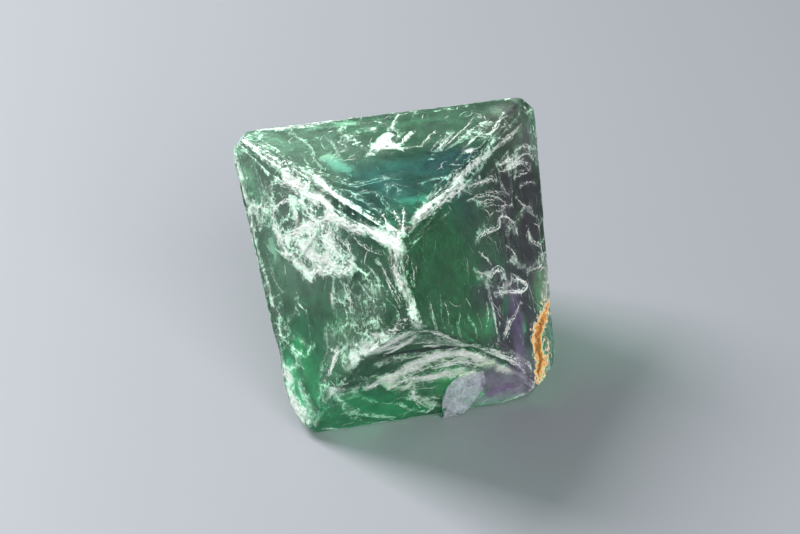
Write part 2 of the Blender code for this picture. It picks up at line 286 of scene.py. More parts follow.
# %% Strokes
# start width, end width, strength, hairs, depth below the face, points (across, up)
STROKES = {
    "left_front": [
        (0.8, 1.3, 1.0, 60, 0.03, [(-13.3, 12), (-10.4, 11.8), (-7.2, 11.6), (-4.3, 11.5)]),
        (1.6, 2.0, 1.0, 90, 0.03, [(-8.7, 11.2), (-5.5, 11.2), (-2.7, 11.2), (-0.3, 11), (1.3, 10.5)]),
        (1.6, 1.0, 0.85, 50, 0.03, [(-1.8, 10.8), (1, 10.5), (3.7, 10.4), (6.6, 10.9)]),
        (0.9, 0.6, 0.9, 26, 0.03, [(4.6, 11.2), (7.9, 11.6), (10.7, 12.2), (12.8, 12.6)]),
        (0.9, 0.7, 0.9, 8, 0.03, [(-16, 12.8), (-12.7, 13), (-9.9, 13.1)]),
        (0.6, 0.4, 0.6, 4, 0.03, [(6.8, 13.2), (9.5, 12.9), (12.4, 13.1)]),
        (1.2, 1.2, 0.95, 30, 0.1, [(-8.8, 4.4), (-7.9, 3.1), (-6.2, 1.8), (-3.9, 1.6), (-1.6, 0.8)]),
        (1.5, 1.2, 0.95, 36, 0.1, [(-1.6, 0.8), (-0.2, 2.6), (0.8, 2.5), (2.1, 3.8), (4.1, 4.2),
                                   (5.7, 6.5)]),
        (0.5, 0.5, 0.6, 8, 0.1, [(5.7, 6.5), (4.5, 7.7), (2.6, 8.3), (1.6, 9.3)]),
        (0.35, 0.3, 0.5, 3, 0.1, [(2.1, 7.4), (4.1, 7), (5.6, 7)]),
        (0.35, 0.3, 0.7, 3, 0.2, [(2.4, 3.3), (3.1, 1.9), (3.3, 0.1), (4.1, -1.5)]),
        (0.5, 0.4, 0.5, 0, 0.2, [(-3.4, -2.8), (-2.4, -4.2), (-1.8, -5.5)]),
        (0.3, 0.3, 0.5, 2, 0.2, [(7.3, 4), (8.4, 4.1), (9.4, 4.3)]),
        (0.3, 0.3, 0.5, 2, 0.2, [(11.2, 5.6), (12.3, 5.5), (13.3, 5.2)]),
        (0.3, 0.3, 0.5, 2, 0.2, [(8.3, 9.3), (8, 8), (7.9, 6.9)]),
        (0.3, 0.3, 0.45, 2, 0.2, [(10.8, 8.8), (10.7, 7.8), (10.5, 7.1)]),
        (1.6, 3.0, 0.5, 40, 0.4, [(4.3, -1.4), (4.6, -3.8), (5, -6.5), (5.9, -10.1)]),
        (2.6, 3.2, 0.3, 50, 0.7, [(6.4, -1.2), (7, -3.3), (7.2, -5.6), (7.3, -8.5)]),
        (2.4, 2.6, 0.22, 30, 0.9, [(8.5, -0.7), (9.6, -2.7), (9.6, -5.2)]),
        (1.6, 1.6, 0.22, 20, 0.9, [(10.3, 3.2), (11.2, 0.9), (12.3, -0.7)]),
        (0.5, 0.45, 0.6, 0, 0.1, [(-5.5, -10.8), (-5.2, -8.7), (-4.2, -8.3), (-0.7, -8.3), (0.5, -8.4)]),
        (0.5, 0.45, 0.65, 0, 0.1, [(-5, -9.3), (-3.5, -9.7), (-1.6, -10.7), (-1.2, -11.8), (-2.7, -13.4)]),
        (0.6, 0.5, 0.45, 0, 0.1, [(-9.2, -4.3), (-7.4, -5.9), (-5.5, -7.1)]),
        (1.5, 1.0, 1.0, 20, 0.05, [(-3.9, -13.6), (-2.8, -13.9), (-1.6, -14.4)]),
        (1.4, 2.0, 1.0, 30, 0.05, [(-1.3, -17), (0.3, -17.4), (2.2, -17.7)]),
        (1.1, 1.0, 0.7, 34, 0.05, [(-18.9, 10.6), (-17.4, 8.4), (-15.8, 6), (-14, 3.7), (-12.5, 1.2)]),
        (0.6, 0.5, 0.45, 14, 0.05, [(-12.4, 0.7), (-10.6, -1.6), (-8.6, -4.1), (-7.2, -6.6)]),
        (0.4, 0.4, 0.35, 4, 0.4, [(-15.5, 10.7), (-13.3, 8.2), (-11.9, 5.5), (-10.3, 3.4)]),
        (0.4, 0.3, 0.3, 4, 0.5, [(-10.9, 0.8), (-9.3, -1), (-7.4, -3), (-6, -4.9)]),
        (0.9, 0.6, 0.75, 9, 0.03, [(7.8, -7.6), (9.6, -5.2), (11.7, -2.6), (14, 0.1)]),
        (0.7, 0.5, 0.6, 12, 0.03, [(4.6, -14.2), (6.1, -12), (7.8, -9.3)]),
        (0.8, 0.7, 0.8, 34, 0.03, [(12.5, 12.5), (13, 10.5), (13.4, 8.6), (14.5, 7.2)]),
        (0.7, 0.6, 0.9, 10, 0.03, [(14.3, 7.4), (15.4, 6.4), (16.8, 5.4), (17.8, 4.8)]),
        (0.6, 0.5, 0.6, 20, 0.03, [(13.3, 12.9), (13.7, 10.6), (14.4, 8.5), (15.4, 7.2)]),
        (0.6, 0.6, 0.7, 5, 0.03, [(15.2, 7.3), (16.5, 6.4), (18.1, 5.2)]),
        (1.2, 0.9, 0.9, 14, 0.03, [(-17.8, 12.6), (-16.5, 12.6)]),
        (4.2, 3.6, 0.38, 30, 0.08, [(-10.8, 7.7), (-7.7, 6.9), (-4.4, 6.2), (-1, 5.5)]),
        (4.2, 3.6, 0.5, 44, 0.08, [(-6.4, 8.3), (-3.5, 7.7), (-0.2, 7), (2.3, 6.3)]),
        (3.0, 2.6, 0.52, 30, 0.08, [(-7.2, 4.3), (-4.2, 3.7), (-1, 3.6), (2, 4.4)]),
        (1.6, 1.2, 0.2, 14, 0.15, [(-16.3, 10.3), (-14.2, 8.4), (-12.2, 6.5), (-10.4, 4.2)]),
        (2.0, 1.6, 0.14, 10, 0.2, [(-13.1, 5), (-11.4, 2.9), (-9.7, 1.1)]),
        (2.0, 1.6, 0.42, 26, 0.12, [(1.6, 9.5), (4, 9), (5.8, 7.9)]),
        (0.3, 0.3, 0.8, 4, 0.05, [(-5.7, 8.8), (-3, 8.8), (-0.1, 8.2), (2.1, 7)]),
        (0.3, 0.3, 0.7, 4, 0.05, [(-1.6, 2.7), (0.1, 4.1), (2.3, 4.6)]),
        (0.3, 0.3, 0.7, 4, 0.05, [(-1.3, 8.4), (1.1, 8.2), (3.2, 7.3), (4.6, 6.3)]),
        (0.28, 0.25, 0.6, 3, 0.1, [(5, 9.5), (7, 9.3), (9.2, 9.5), (11.3, 10)]),
        (0.28, 0.25, 0.6, 3, 0.1, [(5.8, 11.2), (8.4, 11.1), (11, 11), (12.3, 10.2)]),
        (0.28, 0.25, 0.5, 3, 0.1, [(7.5, 7.1), (9.5, 6.7), (10.8, 5.7), (11.5, 4.4)]),
        (0.28, 0.25, 0.5, 3, 0.1, [(9.4, 8.6), (11.4, 7.9), (12.8, 6.7)]),
        (0.28, 0.25, 0.45, 3, 0.1, [(5, 3.1), (6.4, 1.9), (7.2, 0)]),
        (0.28, 0.25, 0.45, 2, 0.1, [(12.2, 4.7), (13.8, 4.2), (15.1, 3.4)]),
        (5.0, 5.0, 0.37, 70, 0.15, [(5.5, 0.9), (7.4, -0.7), (7.6, -3.4), (7.5, -6.1)]),
        (4.4, 4.0, 0.38, 60, 0.2, [(10, 4.5), (10.8, 2.4), (11.4, 0.2), (10.5, -2.5)]),
        (2.0, 2.0, 0.33, 44, 0.1, [(3.9, -4.2), (4.5, -6.7), (4.5, -10), (4.3, -12.9)]),
        (2.0, 2.0, 0.3, 30, 0.15, [(-6.7, -5.2), (-5.7, -7.9), (-4.7, -10.7)]),
        (1.8, 2.2, 0.75, 20, 0.05, [(-2.8, -13.8), (-1.5, -16.1), (0.5, -17.7), (2.8, -18.8)]),
        (1.2, 1.2, 0.4, 12, 0.1, [(0.1, -14), (1.6, -15.3), (3.5, -16.3)]),
        (0.5, 0.4, 0.45, 0, 0.1, [(-1.5, -10.2), (-0.1, -11.2), (0.7, -13.1)]),
        (1.4, 1.0, 0.45, 35, 0.03, [(8.4, -5), (11.2, -2.2), (14.2, 1.1), (16.5, 3.6)]),
        (2.6, 2.4, 0.7, 44, 0.05, [(-4.6, 3.6), (-2.3, 4.1), (0.4, 4.5), (2.5, 5.3)]),
        (2.4, 2.0, 0.5, 34, 0.05, [(-2.3, 7.4), (0.2, 6.9), (2.7, 6.4)]),
        (1.4, 1.2, 0.3, 14, 0.05, [(-8.6, 7.3), (-7, 8.9), (-4.7, 9.4)]),
        (1.2, 0.9, 0.5, 40, 0.03, [(12, 11.7), (12.5, 9.5), (13.7, 7.7)]),
        (0.7, 0.5, 0.5, 7, 0.03, [(13.9, 12.8), (14.5, 11), (15.2, 8.9)]),
        (0.3, 0.3, 0.7, 4, 0.05, [(10.2, 8.4), (11.9, 7.3), (13.6, 6.3), (15.4, 5.2)]),
        (0.3, 0.3, 0.6, 4, 0.05, [(11.6, 7.2), (13.4, 5.9), (15.1, 4.6)]),
        (1.0, 0.8, 0.8, 15, 0.03, [(9.5, 12.7), (11.7, 12.9), (13.6, 14)]),
        (1.2, 1.0, 0.8, 26, 0.03, [(8.7, 11.5), (10.9, 11.7), (12.7, 11.8)]),
        (0.35, 0.3, 0.4, 4, 0.1, [(-8.8, -1.6), (-7.2, -3.1), (-5, -3.8)]),
        (0.35, 0.3, 0.4, 4, 0.1, [(-10.4, -1.5), (-8.7, -3.6), (-7.1, -5.4)]),
        (0.6, 0.5, 0.8, 11, 0.03, [(8.2, -5.9), (10.7, -3.5), (12.9, -1.4)]),
        (0.4, 0.35, 0.85, 10, 0.05, [(-9.7, 5.4), (-9.4, 7), (-7.9, 8.5), (-6, 9.3)]),
        (0.45, 0.5, 0.95, 14, 0.05, [(-9.7, 5.4), (-9.1, 4), (-8, 3.6), (-6.4, 3.7)]),
        (0.35, 0.35, 0.7, 8, 0.05, [(-5.9, 8.4), (-5, 7.3), (-5.3, 5.9)]),
        (0.9, 0.8, 1.0, 50, 0.05, [(-6.4, 3.7), (-4.8, 5.3), (-3.1, 6.8), (-1.5, 8.5), (0, 9.7),
                                   (3.2, 10.9)]),
        (0.8, 0.7, 1.0, 30, 0.05, [(-3.2, 7.2), (-1.9, 6.1), (-2.5, 4.1), (-1.1, 3.4)]),
        (0.8, 0.7, 1.0, 30, 0.05, [(-3, 3.7), (0.3, 4.1), (2.7, 4.4)]),
        (0.35, 0.35, 0.7, 6, 0.05, [(-11.7, 8.4), (-9.9, 10.2), (-7.4, 10.9), (-5.5, 10.3)]),
        (1.0, 0.9, 0.55, 16, 0.05, [(-13.9, 5.1), (-12.7, 4.3), (-11.8, 2.7)]),
        (0.4, 0.35, 0.6, 6, 0.05, [(-13.3, 5), (-12, 5.6), (-10.7, 5.4)]),
        (0.5, 0.4, 0.9, 12, 0.05, [(0.2, 9.7), (0.9, 8.4), (0.6, 6.9), (2.3, 6.3), (4.7, 6)]),
        (0.35, 0.3, 0.8, 6, 0.05, [(-5.3, 9.4), (-3.9, 9.5), (-3.1, 8.7)]),
        (0.5, 0.4, 0.8, 8, 0.05, [(3, 0.7), (3.4, -0.1), (3.5, -0.7)]),
        (0.9, 0.7, 0.9, 13, 0.05, [(5.4, -12.2), (6.4, -11.5), (7.5, -11.1)]),
        (0.5, 0.45, 0.85, 24, 0.03, [(5.1, -10.2), (5.4, -7.9), (5.8, -5.5)]),
        (0.6, 0.5, 0.65, 22, 0.03, [(8.9, -6.2), (10.3, -4.1), (12.1, -1.1), (15.4, 1.8)]),
        (3.0, 2.6, 0.6, 6, 0.3, [(-17.9, 11.3), (-16.4, 9.7), (-15.2, 8)]),
        (2.0, 1.8, 0.4, 6, 0.3, [(-13.9, 4.9), (-12.5, 3.5), (-11.5, 2.3)]),
    ],
    "top": [
        (0.9, 0.7, 0.9, 16, 0.03, [(-18.7, 7.3), (-16.9, 4.8), (-15.4, 2.5)]),
        (0.5, 0.4, 0.45, 8, 0.03, [(-14.3, 1.6), (-12.9, -0.8), (-11.5, -3.4), (-10.3, -5.9)]),
        (0.9, 0.7, 0.85, 34, 0.03, [(-11.7, -1.7), (-10.5, -4.7), (-8.9, -8), (-7.6, -10.5),
                                    (-5.9, -13.5)]),
        (0.6, 0.4, 0.6, 8, 0.03, [(-6.8, -11.8), (-5.5, -14.5), (-4, -16.7)]),
        (1.0, 0.4, 1.0, 18, 0.1, [(-3.3, 3.1), (-2, 4.5), (-1, 6.1)]),
        (0.4, 0.3, 0.8, 8, 0.1, [(-3.4, 2.8), (-1.5, 2.7), (-0.1, 2.4)]),
        (0.3, 0.25, 0.5, 4, 0.1, [(-1.1, 5.8), (-0.2, 8.1), (1.1, 10.9)]),
        (0.6, 0.5, 0.7, 6, 0.15, [(-7.5, 3.4), (-6.6, 5.7), (-5.1, 7.3), (-3.8, 8.3), (-2.8, 7.1)]),
        (0.35, 0.3, 0.6, 4, 0.15, [(-10, -2.5), (-8.8, -3.7), (-7.4, -4.7), (-5.9, -4.5), (-4.5, -4.1),
                                   (-2.8, -3.9), (-1.2, -3.3)]),
        (0.35, 0.3, 0.5, 3, 0.15, [(-3.7, -8.4), (-3.5, -6.6), (-2.7, -5.6), (-2, -6.2), (-2.1, -8),
                                   (-3, -9)]),
        (0.3, 0.3, 0.5, 3, 0.2, [(-7.9, -5.5), (-7.4, -7.4), (-6.3, -8.8), (-5.7, -10.7)]),
        (0.3, 0.3, 0.4, 3, 0.2, [(-5.2, -6.5), (-4.5, -8), (-4.1, -10.1), (-3.8, -12.6)]),
        (0.3, 0.25, 0.35, 3, 0.3, [(-12.7, 4.4), (-12.3, 2.4), (-12.1, 0)]),
        (0.3, 0.25, 0.35, 3, 0.3, [(-11.3, 4.1), (-11.1, 1.9), (-10.5, -0.3)]),
        (0.4, 0.3, 0.5, 6, 0.2, [(2.9, -1), (4.4, 1.3), (6.3, 3.9)]),
        (0.4, 0.3, 0.5, 8, 0.2, [(5.1, 0.9), (7.6, 2.9), (10.5, 5.3)]),
        (0.5, 0.5, 0.4, 12, 0.05, [(-18.3, 10.4), (-14.4, 10.4), (-10.6, 10.4), (-6.6, 10.9)]),
        (0.4, 0.4, 0.3, 10, 0.05, [(-6.6, 10.9), (-2.3, 11.6), (1.9, 12), (6.2, 12.2), (10.7, 12.1)]),
        (4.0, 4.5, 0.2, 30, 0.8, [(-17, 8.2), (-13.6, 7), (-10.2, 5.9)]),
        (3.5, 3.0, 0.12, 26, 1.0, [(-8.4, 7.3), (-4.6, 7.2), (0.1, 7.8)]),
        (0.7, 1.1, 0.62, 30, 0.03, [(-1.6, -14.4), (-0.3, -12.4), (1.2, -10.9), (2.6, -9.8)]),
        (1.5, 1.4, 0.78, 22, 0.03, [(2.1, -10.2), (3.5, -9.1), (5, -7.6), (6.5, -6)]),
        (2.6, 2.2, 0.28, 17, 0.3, [(13.1, 9.8), (14.7, 8.5), (16.1, 6.7)]),
        (0.7, 0.6, 0.55, 10, 0.05, [(13.1, 12.4), (15.4, 12), (17.2, 10.3), (17.7, 7.9)]),
        (0.35, 0.3, 0.9, 2, 0.03, [(-2.5, -16.4), (-0.8, -13.6), (1.3, -11.4), (3.8, -9.4), (5.9, -7)]),
        (0.35, 0.3, 0.9, 4, 0.03, [(-1.3, -13.5), (0.7, -10.8), (2.8, -8.9), (4.9, -7.1), (7.4, -4.3)]),
        (0.3, 0.3, 0.7, 2, 0.03, [(5.6, -5.3), (8, -2.3), (10.1, 0.2), (12.4, 2.4)]),
        (0.3, 0.3, 0.6, 2, 0.03, [(7.6, -2), (10, 0.7), (12.4, 3.4), (14.4, 6)]),
        (0.3, 0.3, 0.5, 4, 0.05, [(10.3, 2.4), (12.5, 5.4), (14.4, 8.5)]),
        (0.3, 0.3, 0.5, 4, 0.08, [(7.4, 0.5), (9.7, 3.4), (12.2, 6.5)]),
        (0.3, 0.3, 0.45, 4, 0.08, [(4.6, 1), (6.6, 3.1), (8.9, 5.6), (11, 8.2)]),
        (1.6, 1.2, 0.2, 10, 0.08, [(0.4, -11.2), (3.7, -8.2), (7.1, -4.7), (10.4, -1.1)]),
        (0.3, 0.3, 0.75, 4, 0.05, [(-5.4, -10.5), (-4.6, -13.3), (-4.4, -16)]),
        (0.3, 0.3, 0.7, 4, 0.05, [(-2.2, -10.7), (-2.4, -13.3), (-3.1, -15.8)]),
        (0.3, 0.3, 0.6, 4, 0.05, [(-3.4, -10.5), (-3.1, -12.8), (-3.3, -15.3)]),
        (0.6, 0.5, 0.6, 14, 0.05, [(-4.8, -14.6), (-3.6, -15.7), (-2.3, -15.1)]),
        (0.3, 0.3, 0.45, 3, 0.15, [(-13.3, 9), (-12.1, 6.7), (-11.4, 4.2), (-11.6, 1.3)]),
        (0.3, 0.3, 0.45, 3, 0.15, [(-9.5, 7.2), (-8.4, 5.5), (-8, 3), (-8.9, 0.8)]),
        (0.3, 0.3, 0.45, 3, 0.15, [(0.5, -6.2), (2.1, -5.6), (4.3, -5.1)]),
        (0.3, 0.3, 0.45, 3, 0.15, [(-8.1, -7.3), (-6.3, -6.7), (-4.3, -7.1)]),
        (0.45, 0.35, 0.7, 8, 0.08, [(0.1, 3.4), (0.9, 4.7), (2, 6.2)]),
        (1.0, 0.8, 0.8, 7, 0.03, [(-5.6, -14.9), (-4.4, -16.4), (-3, -16.3)]),
        (0.35, 0.3, 0.6, 5, 0.1, [(-2.9, 3.2), (-4, 2.2), (-4.8, 1.4)]),
        (1.2, 1.0, 1.0, 18, 0.1, [(-2.7, 3.2), (-1.6, 4.2), (-1.1, 3.1)]),
        (0.6, 0.5, 1.0, 5, 0.05, [(8.1, 0.3), (8.5, 0.5)]),
        (0.3, 0.25, 0.6, 4, 0.1, [(2.3, 2.4), (3.7, 4.1), (5.1, 5.6)]),
        (0.3, 0.25, 0.5, 4, 0.1, [(3.1, 0.8), (5.1, 3.4), (6.9, 5.7)]),
        (0.3, 0.25, 0.5, 4, 0.1, [(4, 1.1), (5.8, 3.2), (7.5, 5.1)]),
        (0.3, 0.25, 0.6, 4, 0.1, [(6.2, 1.7), (8.6, 4.2), (11.4, 6.4)]),
        (0.3, 0.25, 0.5, 4, 0.1, [(0.4, 2.3), (1.6, 2.4), (3, 2.3)]),
    ],
    "front": [
        (0.9, 0.6, 0.75, 9, 0.03, [(-11.2, 3), (-9.7, 4.8), (-8, 6.8), (-6.1, 8.7)]),
        (1.0, 0.7, 0.5, 70, 0.03, [(-10.5, 4.1), (-8.5, 5.6), (-6.5, 6.8), (-4.6, 8.1), (-2.9, 9.1)]),
        (0.7, 0.6, 0.9, 10, 0.03, [(-5.1, 19.4), (-4.4, 16.7), (-3.6, 14), (-2.9, 12.1)]),
        (0.6, 0.6, 0.7, 11, 0.03, [(-4.5, 18.4), (-3.6, 15.7), (-2.6, 12.5)]),
        (0.25, 0.2, 0.5, 1, 0.2, [(0, 16.2), (0.3, 13.4), (0.7, 9.9)]),
        (0.25, 0.2, 0.55, 1, 0.2, [(2.8, 11.1), (2.7, 8.5), (3, 6.7), (3.5, 4.8)]),
        (0.25, 0.2, 0.55, 1, 0.2, [(3.6, 11.7), (4, 9.7), (4.8, 7.7), (5.3, 4.1)]),
        (3.4, 3.4, 0.16, 12, 0.8, [(-2.5, 29.8), (-1.8, 23), (-0.9, 15), (0.2, 7)]),
        (3.4, 3.4, 0.14, 12, 1.0, [(0.6, 31.3), (1.4, 24.6), (2.3, 16.2), (3.8, 6.5)]),
        (0.9, 0.8, 0.8, 50, 0.08, [(-5.8, -1.5), (-4, 0.8), (-2.8, 1.8), (-1.3, 2.5), (1.2, 2.7),
                                   (3.6, 2.8)]),
        (0.6, 0.5, 0.5, 22, 0.08, [(3.6, 2.8), (5.5, 1.1), (7.7, -0.9), (10, -3.6)]),
        (0.9, 0.9, 0.8, 44, 0.08, [(-4.1, -3.6), (-1.6, -2.2), (1, -2.2), (3.3, -2.4), (5.6, -2.4)]),
        (0.7, 0.6, 0.6, 14, 0.08, [(-2.6, -4.7), (-1.3, -7.2), (0, -8.3), (1.3, -9.2)]),
        (0.5, 0.5, 0.55, 10, 0.1, [(-3.7, -1.4), (-1.2, 0), (1.6, 0.4), (4.2, 0.1), (6.6, -1.5)]),
        (3.0, 3.0, 0.42, 30, 0.3, [(-4.7, -2.5), (-1.7, -1), (1.7, -1), (4.8, -1.4)]),
        (2.0, 2.0, 0.25, 24, 0.5, [(-1, -4.9), (0.9, -5.9), (2.4, -5.4)]),
        (0.25, 0.25, 0.7, 2, 0.03, [(-1.7, 5.5), (-0.4, 5.2), (0.8, 5.1)]),
        (0.45, 0.4, 0.55, 0, 0.15, [(-12.4, -3.8), (-10.5, -6.2), (-8.7, -8.2), (-6.8, -9.4),
                                    (-5.1, -10.2)]),
        (0.5, 0.4, 0.5, 0, 0.15, [(-13.1, -2.9), (-11.6, -1.5), (-9.9, -0.1), (-7.8, 0.2)]),
        (0.5, 0.4, 0.3, 0, 0.2, [(-10.3, -2.7), (-8.5, -5.1), (-6.1, -6.8), (-4, -6.9)]),
        (0.5, 0.5, 0.5, 18, 0.05, [(-14.1, -10.2), (-10.4, -11.8), (-6.5, -12), (-2.5, -11.9),
                                   (1.2, -12.3)]),
        (0.5, 0.5, 0.4, 14, 0.05, [(7.6, -11.7), (10.2, -11), (12.5, -9.7), (13.9, -7.2)]),
        (0.7, 0.8, 0.65, 20, 0.05, [(-15.1, -9.4), (-14.6, -6.7), (-13.6, -4.1), (-12.6, -2.6)]),
        (0.5, 0.4, 0.5, 2, 0.03, [(5.5, 3.1), (7.9, 1.8), (10.3, -0.2), (12.4, -2.6)]),
        (0.4, 0.4, 0.55, 8, 0.03, [(1.6, 5.3), (3.7, 4.3), (5.8, 2.8)]),
        (0.28, 0.25, 0.45, 1, 0.1, [(-6.8, 17.3), (-5.8, 15), (-5, 12.7)]),
        (0.28, 0.25, 0.5, 1, 0.03, [(0.6, 14.2), (1.2, 11.5), (1.7, 8.4)]),
        (0.28, 0.25, 0.5, 2, 0.03, [(-1.2, 15.1), (-0.8, 12), (-0.1, 8.4)]),
        (2.0, 1.6, 0.32, 110, 0.03, [(-10, 4.4), (-7.7, 6.1), (-5.5, 7.4), (-3.3, 8.8)]),
        (1.0, 1.0, 0.6, 50, 0.03, [(-8, 7.9), (-6.1, 9.1), (-4.2, 10.3)]),
        (0.35, 0.3, 0.8, 6, 0.03, [(-3.7, 10.6), (-1.7, 11), (0.1, 9.4), (1.8, 6.8), (3.7, 4.1)]),
        (1.4, 1.0, 0.45, 35, 0.03, [(-10.5, 6.4), (-8.3, 8), (-5.9, 9.9), (-4, 11.6)]),
        (3.0, 3.2, 0.5, 90, 0.05, [(-5.5, -1.3), (-3, 0.3), (0, 1.3), (3.3, 1.3), (6.6, -1)]),
        (2.6, 2.4, 0.36, 80, 0.05, [(-3.6, -3.7), (-1.1, -2.6), (1.7, -2), (4.6, -2.8)]),
        (1.4, 1.2, 0.35, 40, 0.05, [(5.5, 0.2), (7.9, -1.8), (10.5, -4.4)]),
        (1.6, 1.2, 0.42, 30, 0.08, [(-2.8, -5.8), (-0.9, -6.8), (1.2, -7)]),
        (1.4, 1.0, 0.4, 26, 0.08, [(-12.1, -3.6), (-10.3, -2.3), (-8.3, -1), (-6.3, -0.6)]),
        (0.4, 0.3, 0.4, 0, 0.05, [(-11.3, -7.2), (-9.2, -9.7), (-7, -11.3)]),
        (0.4, 0.3, 0.45, 0, 0.05, [(-4.3, -7.3), (-2.4, -9.3), (-0.2, -10.4)]),
        (0.4, 0.3, 0.35, 0, 0.05, [(-13.1, -5.7), (-11.3, -4.3), (-9.3, -3.5)]),
        (2.0, 1.8, 0.4, 70, 0.08, [(-2.6, 8.8), (-0.8, 8.1), (1, 6.3), (2.9, 4.3)]),
        (0.35, 0.3, 0.7, 6, 0.05, [(-3.3, 7.1), (-1.3, 7), (0.8, 5.5)]),
        (1.4, 1.2, 0.42, 60, 0.08, [(-7.2, 2.8), (-3.9, 3.7), (-0.6, 3.7), (2.7, 3.2)]),
        (0.6, 0.5, 0.8, 5, 0.03, [(-10.7, 5.1), (-8.8, 6.3), (-7, 7.4)]),
        (0.5, 0.4, 0.85, 16, 0.03, [(-6.5, 6.2), (-4.8, 7), (-3.3, 7.9)]),
        (0.7, 1.0, 0.92, 70, 0.05, [(-8.2, -2.2), (-6.3, -0.6), (-3.8, 0), (-1.5, 1.2), (0.1, 2.4),
                                    (2, 2.5)]),
        (1.0, 0.8, 1.0, 60, 0.05, [(2, 2.5), (3.5, 2.3), (4.9, 1.5), (6.3, -0.2)]),
        (0.7, 0.8, 0.85, 60, 0.05, [(-5.6, -2.9), (-3.4, -1.7), (-0.6, -2), (2.2, -1.6), (4, -1.2)]),
        (0.4, 0.35, 0.7, 8, 0.05, [(-2.5, -3.8), (-1.7, -7.1), (0.3, -9.8)]),
        (0.5, 0.5, 0.5, 0, 0.05, [(-11.8, -5.4), (-9.5, -8), (-7.3, -9.3), (-4.8, -10.5)]),
        (0.5, 0.5, 0.7, 26, 0.05, [(-3.3, 1.3), (-1.3, 2.1), (0.5, 2)]),
        (0.5, 0.4, 0.65, 24, 0.05, [(-0.4, -0.2), (1.6, 0.1), (3.4, 0.3), (5.3, -0.6)]),
        (0.5, 0.45, 0.7, 40, 0.03, [(-10.3, 3.9), (-8.4, 6.2), (-6.5, 7.7), (-4.4, 10.6), (-3.2, 11.1)]),
        (0.45, 0.4, 0.62, 30, 0.03, [(-6.7, 4.4), (-5.1, 6), (-4, 7.5), (-2.9, 10)]),
        (0.4, 0.35, 0.9, 10, 0.03, [(-1.7, 10.8), (0, 9), (1.7, 7), (3.4, 4.6)]),
        (0.4, 0.35, 1.0, 14, 0.03, [(-1.8, 5.8), (-0.7, 5.7), (0.6, 5.1)]),
        (0.5, 0.4, 0.6, 5, 0.03, [(6, 2.3), (7.7, 1.4), (10.8, -1.9), (12.6, -5)]),
        (0.9, 0.7, 0.9, 7, 0.05, [(-13.4, -1.6), (-12.6, -1.6), (-11.9, -2.1)]),
        (0.6, 0.5, 0.65, 8, 0.03, [(-10.3, 4.1), (-9.1, 5.8), (-7.6, 8.6), (-4.9, 9.9)]),
    ],
    "right_front": [
        (0.25, 0.2, 0.55, 2, 0.1, [(-16, 10.7), (-16.6, 9.6), (-17.3, 8.4)]),
        (0.25, 0.2, 0.5, 2, 0.1, [(-15.8, 9.7), (-16.3, 8.6), (-17.2, 7.2)]),
        (0.25, 0.2, 0.4, 2, 0.1, [(-15.4, 8.8), (-15.9, 7.8)]),
        (0.7, 1.1, 0.62, 10, 0.03, [(-12.9, 12.9), (-10.6, 13), (-8.2, 12.6), (-5.8, 12)]),
        (1.5, 1.4, 0.78, 68, 0.03, [(-6.7, 12.3), (-4.3, 11.7), (-1.8, 11.3), (0.6, 11)]),
        (0.8, 0.5, 0.6, 40, 0.03, [(0, 11.4), (2.8, 11.2), (5.5, 10.8), (7.8, 10.6)]),
        (0.5, 0.4, 0.4, 12, 0.03, [(7.2, 10.7), (10.5, 10.2), (13.9, 9.7), (16.9, 9.5)]),
        (0.6, 0.4, 0.25, 8, 0.03, [(-4.4, 10.9), (-2, 10.3), (0.4, 9.7), (3.1, 9.3)]),
        (0.45, 0.4, 0.5, 10, 0.03, [(-14.6, 12.1), (-12.4, 12.1), (-9.8, 11.9), (-7, 11.3)]),
        (0.4, 0.35, 0.75, 8, 0.05, [(8.3, 8.3), (10.9, 7.6), (13.6, 7.1)]),
        (0.35, 0.3, 0.65, 8, 0.05, [(8.9, 7), (11.8, 6.4), (14.5, 5.8)]),
        (0.35, 0.3, 0.6, 8, 0.05, [(9.9, 5.2), (12.4, 4.8), (15, 4)]),
        (2.0, 1.8, 0.16, 20, 0.3, [(9.5, 6.7), (12.9, 6.2), (16.2, 5.5)]),
        (2.6, 2.2, 0.28, 9, 0.3, [(11.8, 14.8), (14.5, 12.7), (17, 10.4)]),
        (0.4, 0.3, 0.6, 4, 0.1, [(0.8, 9.8), (3.2, 8.7), (5.1, 8.1), (6.8, 7.2)]),
        (0.4, 0.3, 0.6, 4, 0.1, [(1, 7.5), (2.5, 6.4), (4.3, 5.6), (5.7, 5.1)]),
        (0.3, 0.3, 0.55, 3, 0.1, [(5.3, 3.8), (6.7, 3.3), (8.2, 2.5)]),
        (0.4, 0.35, 1.0, 8, 0.08, [(-2.2, 3.7), (-0.3, 3.4), (1.8, 2.7), (3.5, 2.1), (4.5, 2.8), (5.6, 2),
                                   (6.5, 0.8), (6.4, 0), (6.2, -0.8)]),
        (0.35, 0.3, 0.7, 3, 0.08, [(9, -1.2), (9.1, -2.3), (8.8, -3.3)]),
        (0.4, 0.35, 0.85, 5, 0.08, [(9.1, -1.8), (8.6, -3.2), (9.5, -4.4), (10.3, -5.5), (9.8, -6.4),
                                    (9, -7), (7.1, -6.1), (5.3, -5.3)]),
        (0.3, 0.25, 0.6, 2, 0.08, [(9.7, -6.2), (11.1, -6.8), (12.4, -7.8)]),
        (0.45, 0.4, 1.0, 9, 0.08, [(-5, 0.9), (-3.7, -0.4), (-2.1, -1.7), (-1, -1.8), (0.1, -2.4),
                                   (0.1, -3.6), (-0.3, -4.7), (-1.5, -4.4), (-2.9, -3.9)]),
        (0.45, 0.4, 1.0, 9, 0.08, [(-2.9, -3.9), (-0.9, -5.1), (1.2, -6.3), (3.2, -7.4), (4.5, -7.4),
                                   (3.4, -6), (1.9, -4.4)]),
